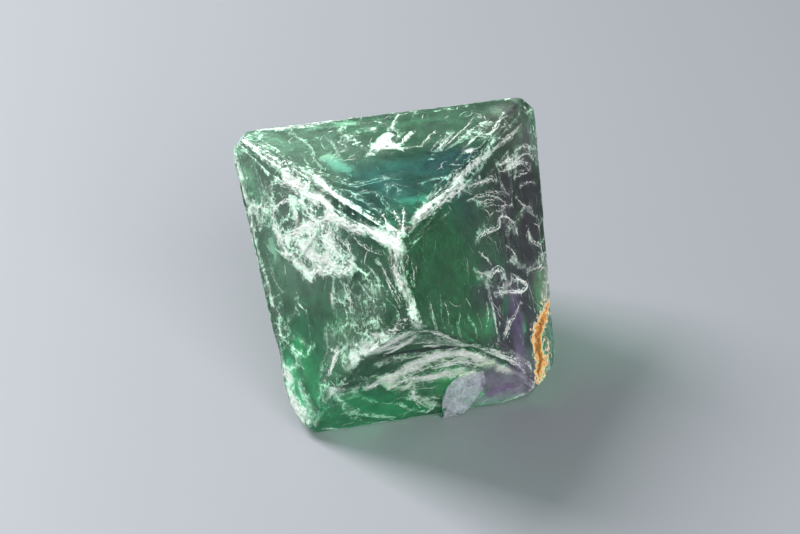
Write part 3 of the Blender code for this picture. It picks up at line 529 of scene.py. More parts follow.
        (0.35, 0.3, 0.8, 4, 0.08, [(-0.3, -4.7), (1.5, -4.9), (1.9, -4.4), (0.8, -3.1)]),
        (0.5, 0.4, 0.7, 6, 0.12, [(-3.7, -0.4), (-3.5, -1.6), (-3.8, -2.7), (-3.7, -4)]),
        (2.0, 1.4, 0.2, 14, 0.3, [(-4.4, -0.5), (-1.7, -3.1), (1.7, -5.7)]),
        (0.4, 0.3, 0.7, 5, 0.1, [(-3.9, -3.9), (-4.4, -5.3), (-5, -6.7), (-5.6, -8.9)]),
        (0.4, 0.3, 0.7, 5, 0.1, [(1.9, -8.2), (0.1, -8.5), (-1.7, -8.7), (-3, -9.1), (-4.2, -9.4)]),
        (0.7, 0.4, 0.6, 8, 0.1, [(-2.1, -8.4), (-3.1, -8.9), (-4.1, -9.3)]),
        (0.25, 0.2, 0.5, 1, 0.2, [(-13.2, 3), (-14, 1.6), (-14.9, -0.1)]),
        (0.25, 0.2, 0.55, 1, 0.2, [(-11.1, -1.5), (-12.4, -2.4), (-12.7, -3.4), (-12.7, -4.5)]),
        (0.25, 0.2, 0.55, 2, 0.2, [(-9.5, -2), (-9.8, -3.1), (-9.3, -4.6), (-10.2, -6.4)]),
        (0.25, 0.2, 0.5, 2, 0.2, [(-7.7, -3.4), (-7.8, -4.7), (-8.2, -5.8)]),
        (0.25, 0.2, 0.35, 2, 0.3, [(-11.4, 10.6), (-12.8, 8.9), (-13.5, 6.8)]),
        (0.25, 0.2, 0.35, 2, 0.3, [(-8.7, 9.8), (-9.9, 8), (-11.9, 6.6)]),
        (3.4, 3.4, 0.16, 34, 0.8, [(-11.1, 11), (-13, 7.3), (-15.2, 3.3), (-16.9, -0.8)]),
        (3.4, 3.4, 0.14, 34, 1.0, [(-4.9, 8.9), (-7, 5.3), (-9.4, 0.9), (-11.5, -4.1)]),
        (0.6, 0.6, 0.5, 18, 0.05, [(18.1, 4.6), (16.5, 0.7), (14.5, -3.6), (12.4, -7.3)]),
        (0.6, 0.6, 0.45, 16, 0.05, [(12.1, -7.7), (10.4, -10.4), (8.3, -12.2)]),
        (0.7, 0.6, 0.55, 4, 0.05, [(11.8, 16.2), (15.7, 14.1), (18.7, 11.7), (19.7, 9.7)]),
        (0.5, 0.4, 0.5, 8, 0.03, [(-10.3, -6.9), (-7.1, -9.6), (-4.2, -12.5), (-1.8, -15.3)]),
        (0.35, 0.3, 0.9, 4, 0.03, [(-14.3, 12.4), (-11.5, 12.6), (-7.9, 12.2), (-3.8, 11.3), (-0.4, 10.9)]),
        (0.35, 0.3, 0.9, 2, 0.03, [(-12.2, 13.1), (-8.9, 13), (-5.5, 12.4), (-2, 11.7), (2.3, 11.2)]),
        (0.35, 0.3, 0.85, 6, 0.03, [(-8.7, 11.9), (-4.7, 11.2), (-0.8, 10.4), (3.9, 9.5)]),
        (0.35, 0.3, 0.85, 6, 0.03, [(-4, 12.1), (-0.2, 11.8), (3.6, 11.3), (7.9, 10.7)]),
        (0.3, 0.3, 0.7, 2, 0.03, [(-0.8, 12.2), (3.2, 12), (6.8, 11.6), (10.6, 11)]),
        (0.3, 0.3, 0.6, 2, 0.03, [(2.7, 12.4), (6.6, 12.1), (10.7, 11.6), (14.1, 11.4)]),
        (0.3, 0.3, 0.3, 3, 0.03, [(-3.7, 10.3), (0.2, 9.4), (4.7, 8.3), (8.4, 7.6)]),
        (0.3, 0.3, 0.25, 2, 0.03, [(1.5, 8.8), (5.7, 8), (10, 7.3), (13.8, 6.5)]),
        (1.6, 1.2, 0.2, 30, 0.08, [(-9.4, 13.1), (-4, 12.1), (1.7, 11.3), (7.2, 10.7)]),
        (1.8, 1.4, 0.14, 14, 0.1, [(-1.1, 4.2), (2.7, 3), (5.9, 0.8)]),
        (2.6, 2.0, 0.2, 26, 0.1, [(-3.9, -0.6), (-1.3, -3.4), (2.1, -6)]),
        (0.28, 0.25, 0.6, 3, 0.03, [(9.6, 3), (10.2, 1.4), (12, -0.3)]),
        (0.28, 0.25, 0.6, 3, 0.03, [(3.1, -0.2), (4.1, -2.1), (4.1, -3.6)]),
        (0.28, 0.25, 0.6, 3, 0.03, [(-2.7, 2.3), (-1.6, 0.7), (-1.1, -0.9)]),
        (0.28, 0.25, 0.6, 3, 0.03, [(11.3, 3.5), (13.3, 2.9), (14.9, 1.6)]),
        (0.28, 0.25, 0.5, 2, 0.03, [(-13.1, 1.6), (-13.3, 0), (-14, -1.6)]),
        (0.28, 0.25, 0.5, 3, 0.03, [(-5, -3.4), (-5.7, -5), (-7.2, -6.1)]),
        (0.28, 0.25, 0.5, 1, 0.03, [(-15.5, 3.5), (-16.3, 2), (-16.8, 0)]),
        (2.0, 2.0, 0.22, 40, 0.1, [(10.5, -7.6), (9.2, -9.6), (7.2, -11.1)]),
        (1.6, 1.6, 0.18, 20, 0.1, [(18.8, 7.9), (17.9, 6), (17, 4.1)]),
        (0.7, 0.5, 0.5, 13, 0.03, [(-15.8, 11.9), (-16.8, 10.3), (-18, 8.6)]),
        (0.3, 0.25, 0.5, 3, 0.05, [(0.2, 10.1), (3.3, 8.9), (6.3, 7.3), (7.9, 5.5)]),
        (0.3, 0.25, 0.4, 3, 0.05, [(0.4, 9), (3.9, 7.3), (6.6, 5.4), (8.6, 3.3)]),
        (0.3, 0.25, 0.45, 3, 0.05, [(-1, 8.7), (2.5, 7.1), (5.6, 5), (7.5, 2.8)]),
        (0.3, 0.25, 0.35, 2, 0.05, [(-0.1, 6.9), (3.4, 5.3), (6.3, 2.9)]),
        (0.3, 0.25, 0.35, 2, 0.05, [(2.1, 4.4), (5.4, 3.2), (7.9, 0.9)]),
        (0.35, 0.3, 0.7, 7, 0.05, [(9.8, 7.1), (12.8, 6.8), (15.9, 5.9), (16.5, 4.3)]),
        (0.35, 0.3, 0.65, 7, 0.05, [(8.2, 7.4), (11.4, 6.7), (14.2, 5.4), (15.4, 3.8)]),
        (0.35, 0.3, 0.6, 6, 0.05, [(13, 7.9), (16, 6.8), (17.2, 5.1)]),
        (0.5, 0.4, 0.6, 15, 0.03, [(-10, -7.6), (-7.6, -9.5), (-4.2, -13.6), (-2.7, -16.3)]),
    ],
}
print("strokes:", {name: len(strokes) for name, strokes in STROKES.items()})

# %% [markdown]
# The veils have clear windows in them, roundish spots where the stone shows through between white walls.

# %% Windows in the veils
# across, up, radius, how clear
WINDOWS = {
    "left_front": [(-7.4, 6.4, 2.1, 0.95), (-4.6, 8.9, 1.2, 0.7), (-1.1, 10.3, 0.8, 0.95),
                   (1.9, 11.3, 0.8, 0.9), (-14.0, 7.3, 1.5, 0.85), (-9.6, 9.1, 1.3, 0.65),
                   (-5.9, 10.2, 0.8, 0.5), (-4.9, 3.0, 0.7, 0.7), (-2.9, 6.0, 0.6, 0.5),
                   (-0.4, 5.5, 1.0, 0.6), (3.3, 7.0, 0.8, 0.6), (2.3, 5.3, 0.7, 0.5),
                   (-12.4, 11.3, 1.4, 0.7), (-10.3, 11.3, 1.0, 0.7), (-11.1, 1.6, 1.4, 0.7),
                   (-2.7, 12.9, 0.6, 0.95), (-1.0, 12.4, 0.6, 0.95), (0.6, 11.9, 0.6, 0.95),
                   (1.9, 11.6, 0.6, 0.9), (4.5, 11.6, 0.6, 0.8), (3.8, 9.2, 0.8, 0.7), (5.6, 8.5, 0.9, 0.8),
                   (13.1, 9.8, 0.6, 0.6), (14.2, 8.5, 0.6, 0.6), (13.2, 6.4, 0.6, 0.6),
                   (9.9, -4.8, 0.5, 0.5)],
    "right_front": [(-7.2, 11.7, 0.5, 0.8), (-4.1, 11.3, 0.5, 0.7), (-1.5, 11.0, 0.5, 0.7),
                    (1.8, 10.6, 0.5, 0.7), (5.0, 10.2, 0.5, 0.6), (-10.5, 12.1, 0.5, 0.7),
                    (-17.2, 9.2, 0.7, 0.7), (-2.3, 10.7, 0.5, 0.6), (-5.5, 11.7, 0.5, 0.6),
                    (1.0, 10.4, 0.5, 0.6), (-8.5, 12.2, 0.5, 0.6)],
    "front": [(-2.3, -0.8, 0.7, 0.6), (-4.2, -1.9, 0.6, 0.5), (0.8, 1.3, 0.6, 0.4), (2.4, 0.2, 0.5, 0.5),
              (-0.9, -0.5, 0.6, 0.5), (1.9, -4.8, 1.1, 0.5), (-1.5, -5.3, 0.9, 0.5), (-6.2, 5.2, 0.6, 0.6),
              (-8.2, 3.5, 0.6, 0.6), (-7.3, 7.9, 0.5, 0.5), (-5.2, 8.0, 0.6, 0.5), (-0.7, 0.6, 0.9, 0.5),
              (2.3, -4.0, 1.1, 0.5), (0.7, -6.6, 1.1, 0.5), (4.7, -0.3, 0.7, 0.4)],
    "top": [(-4.6, 5.3, 0.9, 0.5)],
}
print("windows:", {name: len(windows) for name, windows in WINDOWS.items()})

# %% [markdown]
# The faces at the back and below aren't described stroke by stroke. They get marks of the same kinds
# from a seeded random choice: a crushed rim along each edge, and some veils, threads and cracks.

# %% Strokes for the other faces
# how strong the crushed rims of each face are
RIMS = {"back": 0.7, "left_back": 0.6, "right_back": 0.6, "rest": 0.5}
FIRST_SEED = 40
RIM_PIECE = 6
VEIL_COUNT, THREAD_COUNT, CRACK_COUNT = 5, 9, 4


def corners_of(name):
    """The corners of a face, in order, as across and up."""
    face, spots = face_of[name], []
    others = [f for f in face_of.values() if f is not face]
    for i, one in enumerate(others):
        for other in others[i + 1:]:
            system = np.array((face.out, one.out, other.out))
            if abs(np.linalg.det(system)) < 0.2:
                continue
            spot = MIDDLE + np.linalg.solve(system, (face.reach, one.reach, other.reach))
            if depths_below(spot[None]).min() > -0.05:
                spots.append(face.flat(spot[None])[0])
    spots.sort(key=lambda p: math.atan2(p[1], p[0]))
    return [np.array(p) for p in spots]


def spot_inside(corners, rng, evenness):
    """A random spot between the corners."""
    return sum(w * c for w, c in zip(rng.dirichlet([evenness] * len(corners)), corners))


def wander(start, end, bend, rng, count=6):
    """A line from start to end that strays sideways by up to bend."""
    start, end = np.asarray(start), np.asarray(end)
    side = np.array((end[1] - start[1], start[0] - end[0]))
    side = side / (np.linalg.norm(side) + 1e-9)
    line = []
    for i in range(count):
        part = i / (count - 1)
        stray = side * bend * rng.normal() * math.sin(math.pi * part)
        line.append(tuple(start + (end - start) * part + stray))
    return line


def wild_strokes(name, seed, rim):
    rng = np.random.default_rng(seed)
    corners = corners_of(name)
    made = []

    def inside():
        return spot_inside(corners, rng, 1.6) * 0.85

    for a, b in zip(corners, corners[1:] + corners[:1]):
        pieces = max(2, int(np.linalg.norm(b - a) / RIM_PIECE))
        for i in range(pieces):
            if rng.random() < 0.75:
                p, q = (a + (b - a) * part for part in ((i + 0.1) / pieces, (i + 0.95) / pieces))
                wide = rng.uniform(0.5, 1.5)
                made.append((wide, wide * rng.uniform(0.5, 1), rim * rng.uniform(0.6, 1.2),
                             int(10 * wide) + 4, 0.03, wander(p * 0.97, q * 0.97, 0.3, rng)))
    for _ in range(VEIL_COUNT):
        made.append((rng.uniform(1.5, 3.5), rng.uniform(1, 3), rng.uniform(0.15, 0.4), 26,
                     rng.uniform(0.3, 1), wander(inside(), inside(), 1.5, rng)))
    for _ in range(THREAD_COUNT):
        start = inside()
        made.append((0.35, 0.25, rng.uniform(0.2, 0.45), 3, 0.15,
                     wander(start, start + rng.normal(0, 3, 2), 0.5, rng)))
    for _ in range(CRACK_COUNT):
        start = inside()
        made.append((0.45, 0.3, rng.uniform(0.3, 0.5), 5, 0.08,
                     wander(start, start + rng.normal(0, 4, 2), 0.9, rng, 8)))
    return made


for number, (name, rim) in enumerate(RIMS.items()):
    STROKES[name] = wild_strokes(name, FIRST_SEED + number, rim)
print("strokes on all faces:", sum(len(strokes) for strokes in STROKES.values()))

# %% [markdown]
# Now each stroke is painted on the points of the body near it. A point remembers two things: how strong
# its mark is ("paint"), and where it lies along and across its stroke ("grain"), so that the material can
# draw fibres that follow the stroke.

# %% Paint the strokes on the body's points
DEEP = 0.25  # marks this deep are painted on a hazy skin of their own
THREAD = 0.55  # a stroke with hairs that starts thinner than this is a thread
FAINT = 0.42  # threads are painted this faintly, because ribbons draw them too
RIM = 0.12  # how far paint spreads past a stroke's half width


def smooth_line(points, step=0.5):
    """A smooth curve through the points, with a point every step (Catmull-Rom)."""
    p = np.array(points, float)
    p = np.vstack((2 * p[0] - p[1], p, 2 * p[-1] - p[-2]))
    line = []
    for a, b, c, d in zip(p, p[1:], p[2:], p[3:]):
        for t in np.linspace(0, 1, max(2, int(np.linalg.norm(c - b) / step) + 1), endpoint=False):
            line.append(0.5 * (2 * b + (c - a) * t + (2 * a - 5 * b + 4 * c - d) * t * t
                               + (3 * b - a - 3 * c + d) * t ** 3))
    return np.array(line + [p[-2]])


def nearest_on_line(line, spots):
    """Distance to a line, length along it, side of it and share of it, for each spot."""
    best = np.full(len(spots), 1e9)
    run, side = np.zeros(len(spots)), np.zeros(len(spots))
    done = 0.0
    for a, b in zip(line, line[1:]):
        length = np.linalg.norm(b - a) + 1e-9
        ahead = (b - a) / length
        offset = spots - a
        t = np.clip(offset @ ahead, 0, length)
        gap = np.linalg.norm(offset - np.outer(t, ahead), axis=1)
        closer = gap < best
        best[closer] = gap[closer]
        run[closer] = done + t[closer]
        side[closer] = (offset[:, 0] * ahead[1] - offset[:, 1] * ahead[0])[closer]
        done += length
    return best, run, side, run / done


def paint(points, strokes_of, wanted=lambda depth: True, windows=None, faint=1.0):
    """How strongly the strokes mark each point, and where along and across its stroke it lies."""
    strength, grain = np.zeros(len(points)), np.zeros((len(points), 3))
    strongest = np.zeros(len(points))
    nearest = edge_distance(points)[0]
    for number, (name, strokes) in enumerate(strokes_of.items()):
        mine = np.flatnonzero(nearest == names.index(name))
        spots = face_of[name].flat(points[mine])
        for index, (start, end, power, hairs, depth, path) in enumerate(strokes):
            if not wanted(depth):
                continue
            gap, run, side, share = nearest_on_line(smooth_line(path), spots)
            half = (start + (end - start) * share) / 2 + RIM
            mark = power * (faint if start < THREAD and hairs else 1) * np.clip(1.25 - gap / half, 0, 1)
            strength[mine] = 1 - (1 - strength[mine]) * (1 - mark)
            stronger = mark > strongest[mine]
            chosen = mine[stronger]
            strongest[chosen] = mark[stronger]
            own = np.full(len(run), 7.3 * index + 31 * number)
            grain[chosen] = np.stack((run, side, own), axis=1)[stronger]
        for across, up, radius, clear in (windows or {}).get(name, ()):
            right, higher = spots[:, 0] - across, spots[:, 1] - up
            away = np.hypot(right, higher)
            away += 0.25 * radius * np.sin(3 * np.arctan2(higher, right) + across)
            strength[mine] *= 1 - clear * np.clip(2.2 - 1.7 * away / radius, 0, 1)
    return strength, grain


surface = positions(body)
marks, grains = paint(surface, STROKES, lambda depth: depth < DEEP, WINDOWS, FAINT)
haze_marks, haze_grains = paint(surface, STROKES, lambda depth: depth >= DEEP, WINDOWS, FAINT)
print("marked points:", int((marks > 0.02).sum()), "hazy points:", int((haze_marks > 0.02).sum()))

# %% [markdown]
# ## Materials
# Small helpers keep the node trees short. Each takes plain values or other nodes' outputs.

# %% Node helpers
def feed(tree, node, inputs):
    """Gives each of the node's inputs a plain value or links another node's output to it."""
    for key, value in inputs.items():
        if isinstance(value, bpy.types.NodeSocket):
            tree.links.new(value, node.inputs[key])
        else:
            node.inputs[key].default_value = value


def add(tree, kind, inputs=None, **settings):
    """Adds a node, sets its options and feeds its inputs."""
    made = tree.nodes.new(kind)
    for key, value in settings.items():
        setattr(made, key, value)
    feed(tree, made, inputs or {})
    return made


def arithmetic(tree, operation, *numbers, clamp=False):
    settings = {"operation": operation, "use_clamp": clamp}
    return add(tree, "ShaderNodeMath", dict(enumerate(numbers)), **settings).outputs[0]


def vectors(tree, operation, first, second):
    return add(tree, "ShaderNodeVectorMath", {0: first, 1: second}, operation=operation).outputs[0]


def scaled(tree, vector, by):
    return add(tree, "ShaderNodeVectorMath", {0: vector, "Scale": by}, operation="SCALE").outputs[0]


def place_in_mm(tree):
    """Where on the object a point is, in mm."""
    return scaled(tree, add(tree, "ShaderNodeTexCoord").outputs["Object"], 1 / MM)


def soft_step(tree, value, low, high, to_low=0.0, to_high=1.0):
    """Goes smoothly from to_low to to_high while the value goes from low to high."""
    return add(tree, "ShaderNodeMapRange", dict(enumerate((value, low, high, to_low, to_high))),
               interpolation_type="SMOOTHSTEP").outputs[0]


def grains_of(tree, place, scale, detail, roughness, distortion=0.0):
    """A noise texture's outputs: Fac and Color."""
    return add(tree, "ShaderNodeTexNoise", {"Vector": place, "Scale": scale, "Detail": detail,
                                            "Roughness": roughness, "Distortion": distortion}).outputs


def add_grain(tree, value, grain, weight):
    """The value plus weighted noise, which goes from below zero to above it."""
    return arithmetic(tree, "MULTIPLY_ADD", arithmetic(tree, "SUBTRACT", grain["Fac"], 0.5), weight, value)


def cell_walls(tree, place, scale):
    """The distance from the walls of an irregular pattern of cells."""
    return add(tree, "ShaderNodeTexVoronoi", {"Vector": place, "Scale": scale, "Randomness": 1},
               feature="DISTANCE_TO_EDGE").outputs["Distance"]


def blend(tree, share, first, second):
    return add(tree, "ShaderNodeMix", {0: share, 6: first, 7: second}, data_type="RGBA").outputs[2]


def bump(tree, height, strength, distance):
    sizes = {"Strength": strength, "Distance": distance}
    return add(tree, "ShaderNodeBump", {"Height": height, **sizes}).outputs[0]


def named_attribute(tree, name, output):
    return add(tree, "ShaderNodeAttribute", attribute_name=name).outputs[output]


def new_group(name, inputs, outputs):
    """A node group, its inputs as given inside it, and the places for its results."""
    group = bpy.data.node_groups.new(name, "ShaderNodeTree")
    for title, kind, value in inputs:
        socket = group.interface.new_socket(title, in_out="INPUT", socket_type="NodeSocket" + kind)
        if value is not None:
            socket.default_value = value
    for title, kind in outputs:
        group.interface.new_socket(title, in_out="OUTPUT", socket_type="NodeSocket" + kind)
    return group, group.nodes.new("NodeGroupInput").outputs, group.nodes.new("NodeGroupOutput")


# %% [markdown]
# Two node groups are shared, so that a change in one place changes every material. The first gives a
# fibrous mask: it stretches noise along each stroke and adds blotches, crumbs and the walls of cells, and
# what rises over a threshold is white stone.

# %% Group: fibres along a stroke
fibre_group, given, result = new_group(
    "fibres", [("Paint", "Float", 0.5), ("Grain", "Vector", None), ("Fineness", "Float", 1.0),
               ("Contrast", "Float", 1.0)], [("Mask", "Float"), ("Thickness", "Float")])
tree = fibre_group
place = place_in_mm(tree)
threads = grains_of(tree, vectors(tree, "MULTIPLY", given["Grain"], (0.42, 2.7, 1.0)), given["Fineness"],
                    5, 0.68, 0.5)
blotches = grains_of(tree, place, 0.75, 6, 0.62)
crumbs = grains_of(tree, place, 2.6, 4, 0.6)
patches = grains_of(tree, place, 0.30, 3, 0.5)
flakes = cell_walls(tree, place, 1.5)
cells = cell_walls(tree, vectors(tree, "ADD", place, scaled(tree, blotches["Color"], 1.1)), 0.42)
total = arithmetic(tree, "ADD", soft_step(tree, flakes, 0.0, 0.12, 0.35, 0.0),
                   soft_step(tree, cells, 0.0, 0.10, 0.55, 0.0))
for grain, weight in ((threads, 2.6), (blotches, 2.2), (crumbs, 2.2), (patches, 1.8)):
    total = add_grain(tree, total, grain, weight)
total = arithmetic(tree, "MULTIPLY_ADD", total, given["Contrast"],
                   arithmetic(tree, "MULTIPLY_ADD", given["Paint"], 1.35, -0.62))
core = arithmetic(tree, "MULTIPLY", soft_step(tree, total, 0.35, 1.1), 0.5)
mask = arithmetic(tree, "MULTIPLY_ADD", soft_step(tree, total, 0.0, 0.5), 0.5, core)
mask = arithmetic(tree, "MULTIPLY", mask, soft_step(tree, given["Paint"], 0.0, 0.18))
feed(tree, result, {"Mask": mask, "Thickness": total})
print("group:", fibre_group.name)

# %% [markdown]
# Fluorite isn't one colour throughout. The second group mixes a coloured zone into the stone: a ball,
# squashed and with a wobbly rim, inside which the stone takes the zone's colour.

# %% Group: a coloured zone in the stone
zone_group, given, result = new_group(
    "coloured zone", [("Stone", "Color", None), ("Zone", "Color", None), ("Middle", "Vector", None),
                      ("Squash", "Vector", (1, 1, 1)), ("Radius", "Float", 6.0), ("Softness", "Float", 3.0),
                      ("Wobble", "Float", 4.0)], [("Color", "Color")])
tree = zone_group
place = place_in_mm(tree)
offset = vectors(tree, "MULTIPLY", vectors(tree, "SUBTRACT", place, given["Middle"]), given["Squash"])
distance = add(tree, "ShaderNodeVectorMath", {0: offset}, operation="LENGTH").outputs["Value"]
distance = add_grain(tree, arithmetic(tree, "SUBTRACT", distance, given["Radius"]),
                     grains_of(tree, place, 0.28, 4, 0.55), given["Wobble"])
inner = arithmetic(tree, "MULTIPLY", given["Softness"], -1.0)
share = soft_step(tree, distance, inner, given["Softness"], 1.0, 0.0)
feed(tree, result, {"Color": blend(tree, share, given["Stone"], given["Zone"])})
print("group:", zone_group.name)

# %% [markdown]
# The stone is clear, so its material lets light through and bends it (IOR 1.434 is fluorite's own). Its
# roughness varies, and crushed places are paler and rougher, which clouds what is seen through them. The
# volume takes away more red and blue than green on the way through. Zones of colour follow the real
# thing: teal and pale green above, deep green on the right with a dark purple side, emerald and lilac at
# the foot. The pale green at the back of the top and on the upper left, and the bright emerald at the left
# foot, are partly painted light: lamp light falling from behind and above, and shining through from behind.
# Light focused by glass is slow and noisy to trace. So a ray that asks for shadow gets a plain
# see-through shader instead, and lamp light reaches the inside and the floor.

# %% Stone
# middle in mm, squash, radius, softness, wobble, colour
COLOUR_AND_LIGHT_ZONES = [
    # partly the stone's own pale green and partly painted light, where lamp light falls on the back of the
    # top
    ((-11.0, 8.0, 31.0), (1, 1, 1), 10.0, 5.0, 5.0, (0.46, 0.78, 0.60)),
    ((4.0, 10.0, 32.0), (0.6, 1, 1), 6.5, 3.0, 4.0, (0.21, 0.46, 0.31)),
    ((0.5, -8.0, 32.0), (0.8, 1, 1), 8.0, 3.0, 4.0, (0.07, 0.27, 0.24)),
    ((6.5, -1.5, 32.0), (0.6, 1, 1), 3.2, 1.6, 2.0, (0.04, 0.20, 0.19)),
    # partly painted light as well: the upper left is paler where the lamp falls
    ((-14.0, -3.0, 25.0), (1, 1, 1), 8.0, 4.0, 4.0, (0.42, 0.70, 0.55)),
    # partly the stone's green and partly a painted glow of light shining through from behind, at the left
    # foot
    ((-14.5, -10.0, 8.0), (1, 1, 0.8), 6.0, 3.0, 3.0, (0.08, 0.62, 0.30)),
    ((2.0, -15.5, 25.0), (1, 1, 0.7), 8.0, 3.0, 3.0, (0.05, 0.34, 0.14)),
    ((17.0, 0.0, 22.0), (1, 1, 0.8), 8.0, 3.5, 4.0, (0.07, 0.06, 0.08)),
    ((12.0, -10.5, 13.5), (1, 1, 0.8), 6.0, 3.0, 3.0, (0.09, 0.06, 0.12)),
    ((18.5, -3.0, 11.0), (1, 1, 0.8), 3.0, 1.5, 2.0, (0.42, 0.46, 0.36)),
    # partly a painted glow of light shining through from behind, like the bright emerald above
    ((-6.5, -14.0, 3.0), (0.8, 1, 1), 6.5, 3.0, 3.0, (0.10, 0.68, 0.36)),
    ((11.0, -13.0, 3.5), (0.8, 1, 1), 5.0, 2.0, 2.5, (0.50, 0.42, 0.56)),
    ((16.0, 7.5, 30.0), (1, 1, 1), 4.0, 2.0, 3.0, (0.34, 0.38, 0.34)),
]
STONE_GREEN = (0.120, 0.335, 0.212)
GLASS = {"IOR": 1.434, "Transmission Weight": 0.86, "Specular IOR Level": 0.42}
STREAK_TINT, CRUSHED_TINT = (0.62, 0.80, 0.70), (0.86, 0.95, 0.90)
ABSORB = {"Color": (0.25, 0.62, 0.42, 1), "Density": 110}
LAMP_TINT = (0.55, 0.68, 0.60)


def zone(tree, stone, middle, squash, radius, softness, wobble, colour):
    """The stone's colour with a zone of another colour mixed in."""
    return add(tree, "ShaderNodeGroup", {"Stone": stone, "Zone": (*colour, 1), "Middle": middle,
                                         "Squash": squash, "Radius": radius, "Softness": softness,
                                         "Wobble": wobble}, node_tree=zone_group).outputs["Color"]


stone, tree, shader = new_material("fluorite")
colour = (*STONE_GREEN, 1)
for row in COLOUR_AND_LIGHT_ZONES:
    colour = zone(tree, colour, *row)
place = place_in_mm(tree)
mottle = soft_step(tree, grains_of(tree, place, 0.5, 6, 0.6)["Fac"], 0.3, 0.7, 0.72, 1.28)
colour = add(tree, "ShaderNodeHueSaturation", {"Value": mottle, "Color": colour}).outputs[0]
streaks = grains_of(tree, vectors(tree, "MULTIPLY", place, (2.4, 2.4, 0.34)), 1.0, 5, 0.65, 0.4)
colour = blend(tree, soft_step(tree, streaks["Fac"], 0.42, 0.75, 0.0, 0.26), colour, (*STREAK_TINT, 1))
crushed = named_attribute(tree, "paint", "Fac")
colour = blend(tree, arithmetic(tree, "MULTIPLY", crushed, 0.75), colour, (*CRUSHED_TINT, 1))
cloudiness = soft_step(tree, grains_of(tree, place, 0.35, 5, 0.6)["Fac"], 0.32, 0.68, 0.05, 0.24)
feed(tree, shader, {
    **GLASS, "Base Color": colour,
    "Roughness": arithmetic(tree, "MULTIPLY_ADD", crushed, 0.25, cloudiness, clamp=True),
    "Normal": bump(tree, grains_of(tree, place, 1.6, 4, 0.7)["Fac"], 0.16, 0.0003)})
lamp_light = add(tree, "ShaderNodeBsdfTransparent", {"Color": (*LAMP_TINT, 1)})
choose = add(tree, "ShaderNodeMixShader", {0: add(tree, "ShaderNodeLightPath").outputs["Is Shadow Ray"],
                                           1: shader.outputs[0], 2: lamp_light.outputs[0]})
feed(tree, tree.nodes["Material Output"], {
    "Volume": add(tree, "ShaderNodeVolumeAbsorption", ABSORB).outputs[0], "Surface": choose.outputs[0]})
print("zones in the stone:", len(COLOUR_AND_LIGHT_ZONES))

# %% [markdown]
# White stone is the same crystal broken so finely that light scatters. Its materials are opaque where the
# fibres are thick and gone where they are thin, and those of the skins turn cream at the foot of the front.
# The bump comes from cheap noise of its own, because bumping with the whole mask is much slower.

# %% Veils and crushed stone
CREAM_ZONE = ((3.0, -15.5, 8.5), (0.6, 1, 1), 6.0, 2.0, 3.0)  # middle, squash, radius, softness, wobble
CREAM = (0.96, 0.91, 0.79)


def veil_material(name, colour, opacity, fineness=1.0, contrast=1.0, warm=(0.86, 0.88, 0.80), foot=CREAM):
    """White broken stone: warm where it is thin, and another colour at the foot of the front."""
    material, tree, shader = new_material(name)
    fibres = add(tree, "ShaderNodeGroup", {
        "Paint": named_attribute(tree, "paint", "Fac"), "Grain": named_attribute(tree, "grain", "Vector"),
        "Fineness": fineness, "Contrast": contrast}, node_tree=fibre_group).outputs
    tint = blend(tree, soft_step(tree, fibres["Thickness"], 0.0, 1.0), (*warm, 1), (*colour, 1))
    crumbs = grains_of(tree, place_in_mm(tree), 2.6, 3, 0.6)
    feed(tree, shader, {
        "Base Color": zone(tree, tint, *CREAM_ZONE, foot),
        "Alpha": arithmetic(tree, "MULTIPLY", fibres["Mask"], opacity),
        "Roughness": soft_step(tree, fibres["Thickness"], 0.0, 1.2, 0.35, 0.7),
        "Normal": bump(tree, crumbs["Fac"], 0.5, 0.0004)})
    return material


STRAND_WHITE, PLATE_LILAC = (0.96, 0.98, 0.95), (0.62, 0.63, 0.72)
crushed_stone = veil_material("crushed stone", (0.95, 0.98, 0.95), 0.98, contrast=1.3)
haze_stone = veil_material("hazy veil", (0.66, 0.80, 0.72), 0.42, 0.8, 0.9, warm=(0.45, 0.62, 0.53))
deep_stone = veil_material("deep veil", (0.60, 0.76, 0.68), 0.30, 0.6, 1.1, warm=(0.35, 0.52, 0.44))
strand_stone = veil_material("white strands", STRAND_WHITE, 0.98, 1.6, 0.35, warm=(0.93, 0.94, 0.90),
                             foot=STRAND_WHITE)
plate_stone = veil_material("pale lilac plate", PLATE_LILAC, 0.92, 0.8, 0.35, warm=(0.40, 0.42, 0.50),
                            foot=PLATE_LILAC)
white_stones = (crushed_stone, haze_stone, deep_stone, strand_stone, plate_stone)
print("materials of white stone:", [material.name for material in white_stones])

# %% [markdown]
# ## Pieces
# The body, its skins and its strands become objects. Each is told that it rides on the same body as the
# part, and the new crystal stands in for the part's own mesh. Crushed stone and haze are skins just below
# the surface, so that the clear stone over them still shines.

# %% Body and skins
CRUSHED_DEPTH, HAZE_DEPTH = 0.035, 0.5
FAINTEST = 0.02  # paint below this isn't shown
STEP_PAINT = 0.45  # how white the sides of steps and nicks are, at least


def finish_piece(name, points, triangles, material, marks, grains):
    """Makes an object from points in mm, with its marks stored on its points."""
    mesh = bpy.data.meshes.new(name)
    mesh.from_pydata((np.asarray(points) * MM).tolist(), [], [list(map(int, t)) for t in triangles])
    mesh.attributes.new("paint", "FLOAT", "POINT").data.foreach_set("value", np.asarray(marks, np.float32))
    mesh.attributes.new("grain", "FLOAT_VECTOR", "POINT").data.foreach_set(
        "vector", np.asarray(grains, np.float32).ravel())
    mesh.materials.append(material)
    piece = bpy.data.objects.new(name, mesh)
    bpy.context.scene.collection.objects.link(piece)
    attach(piece, "root")
    print(f"{name}: {len(mesh.polygons)} faces")
    return piece


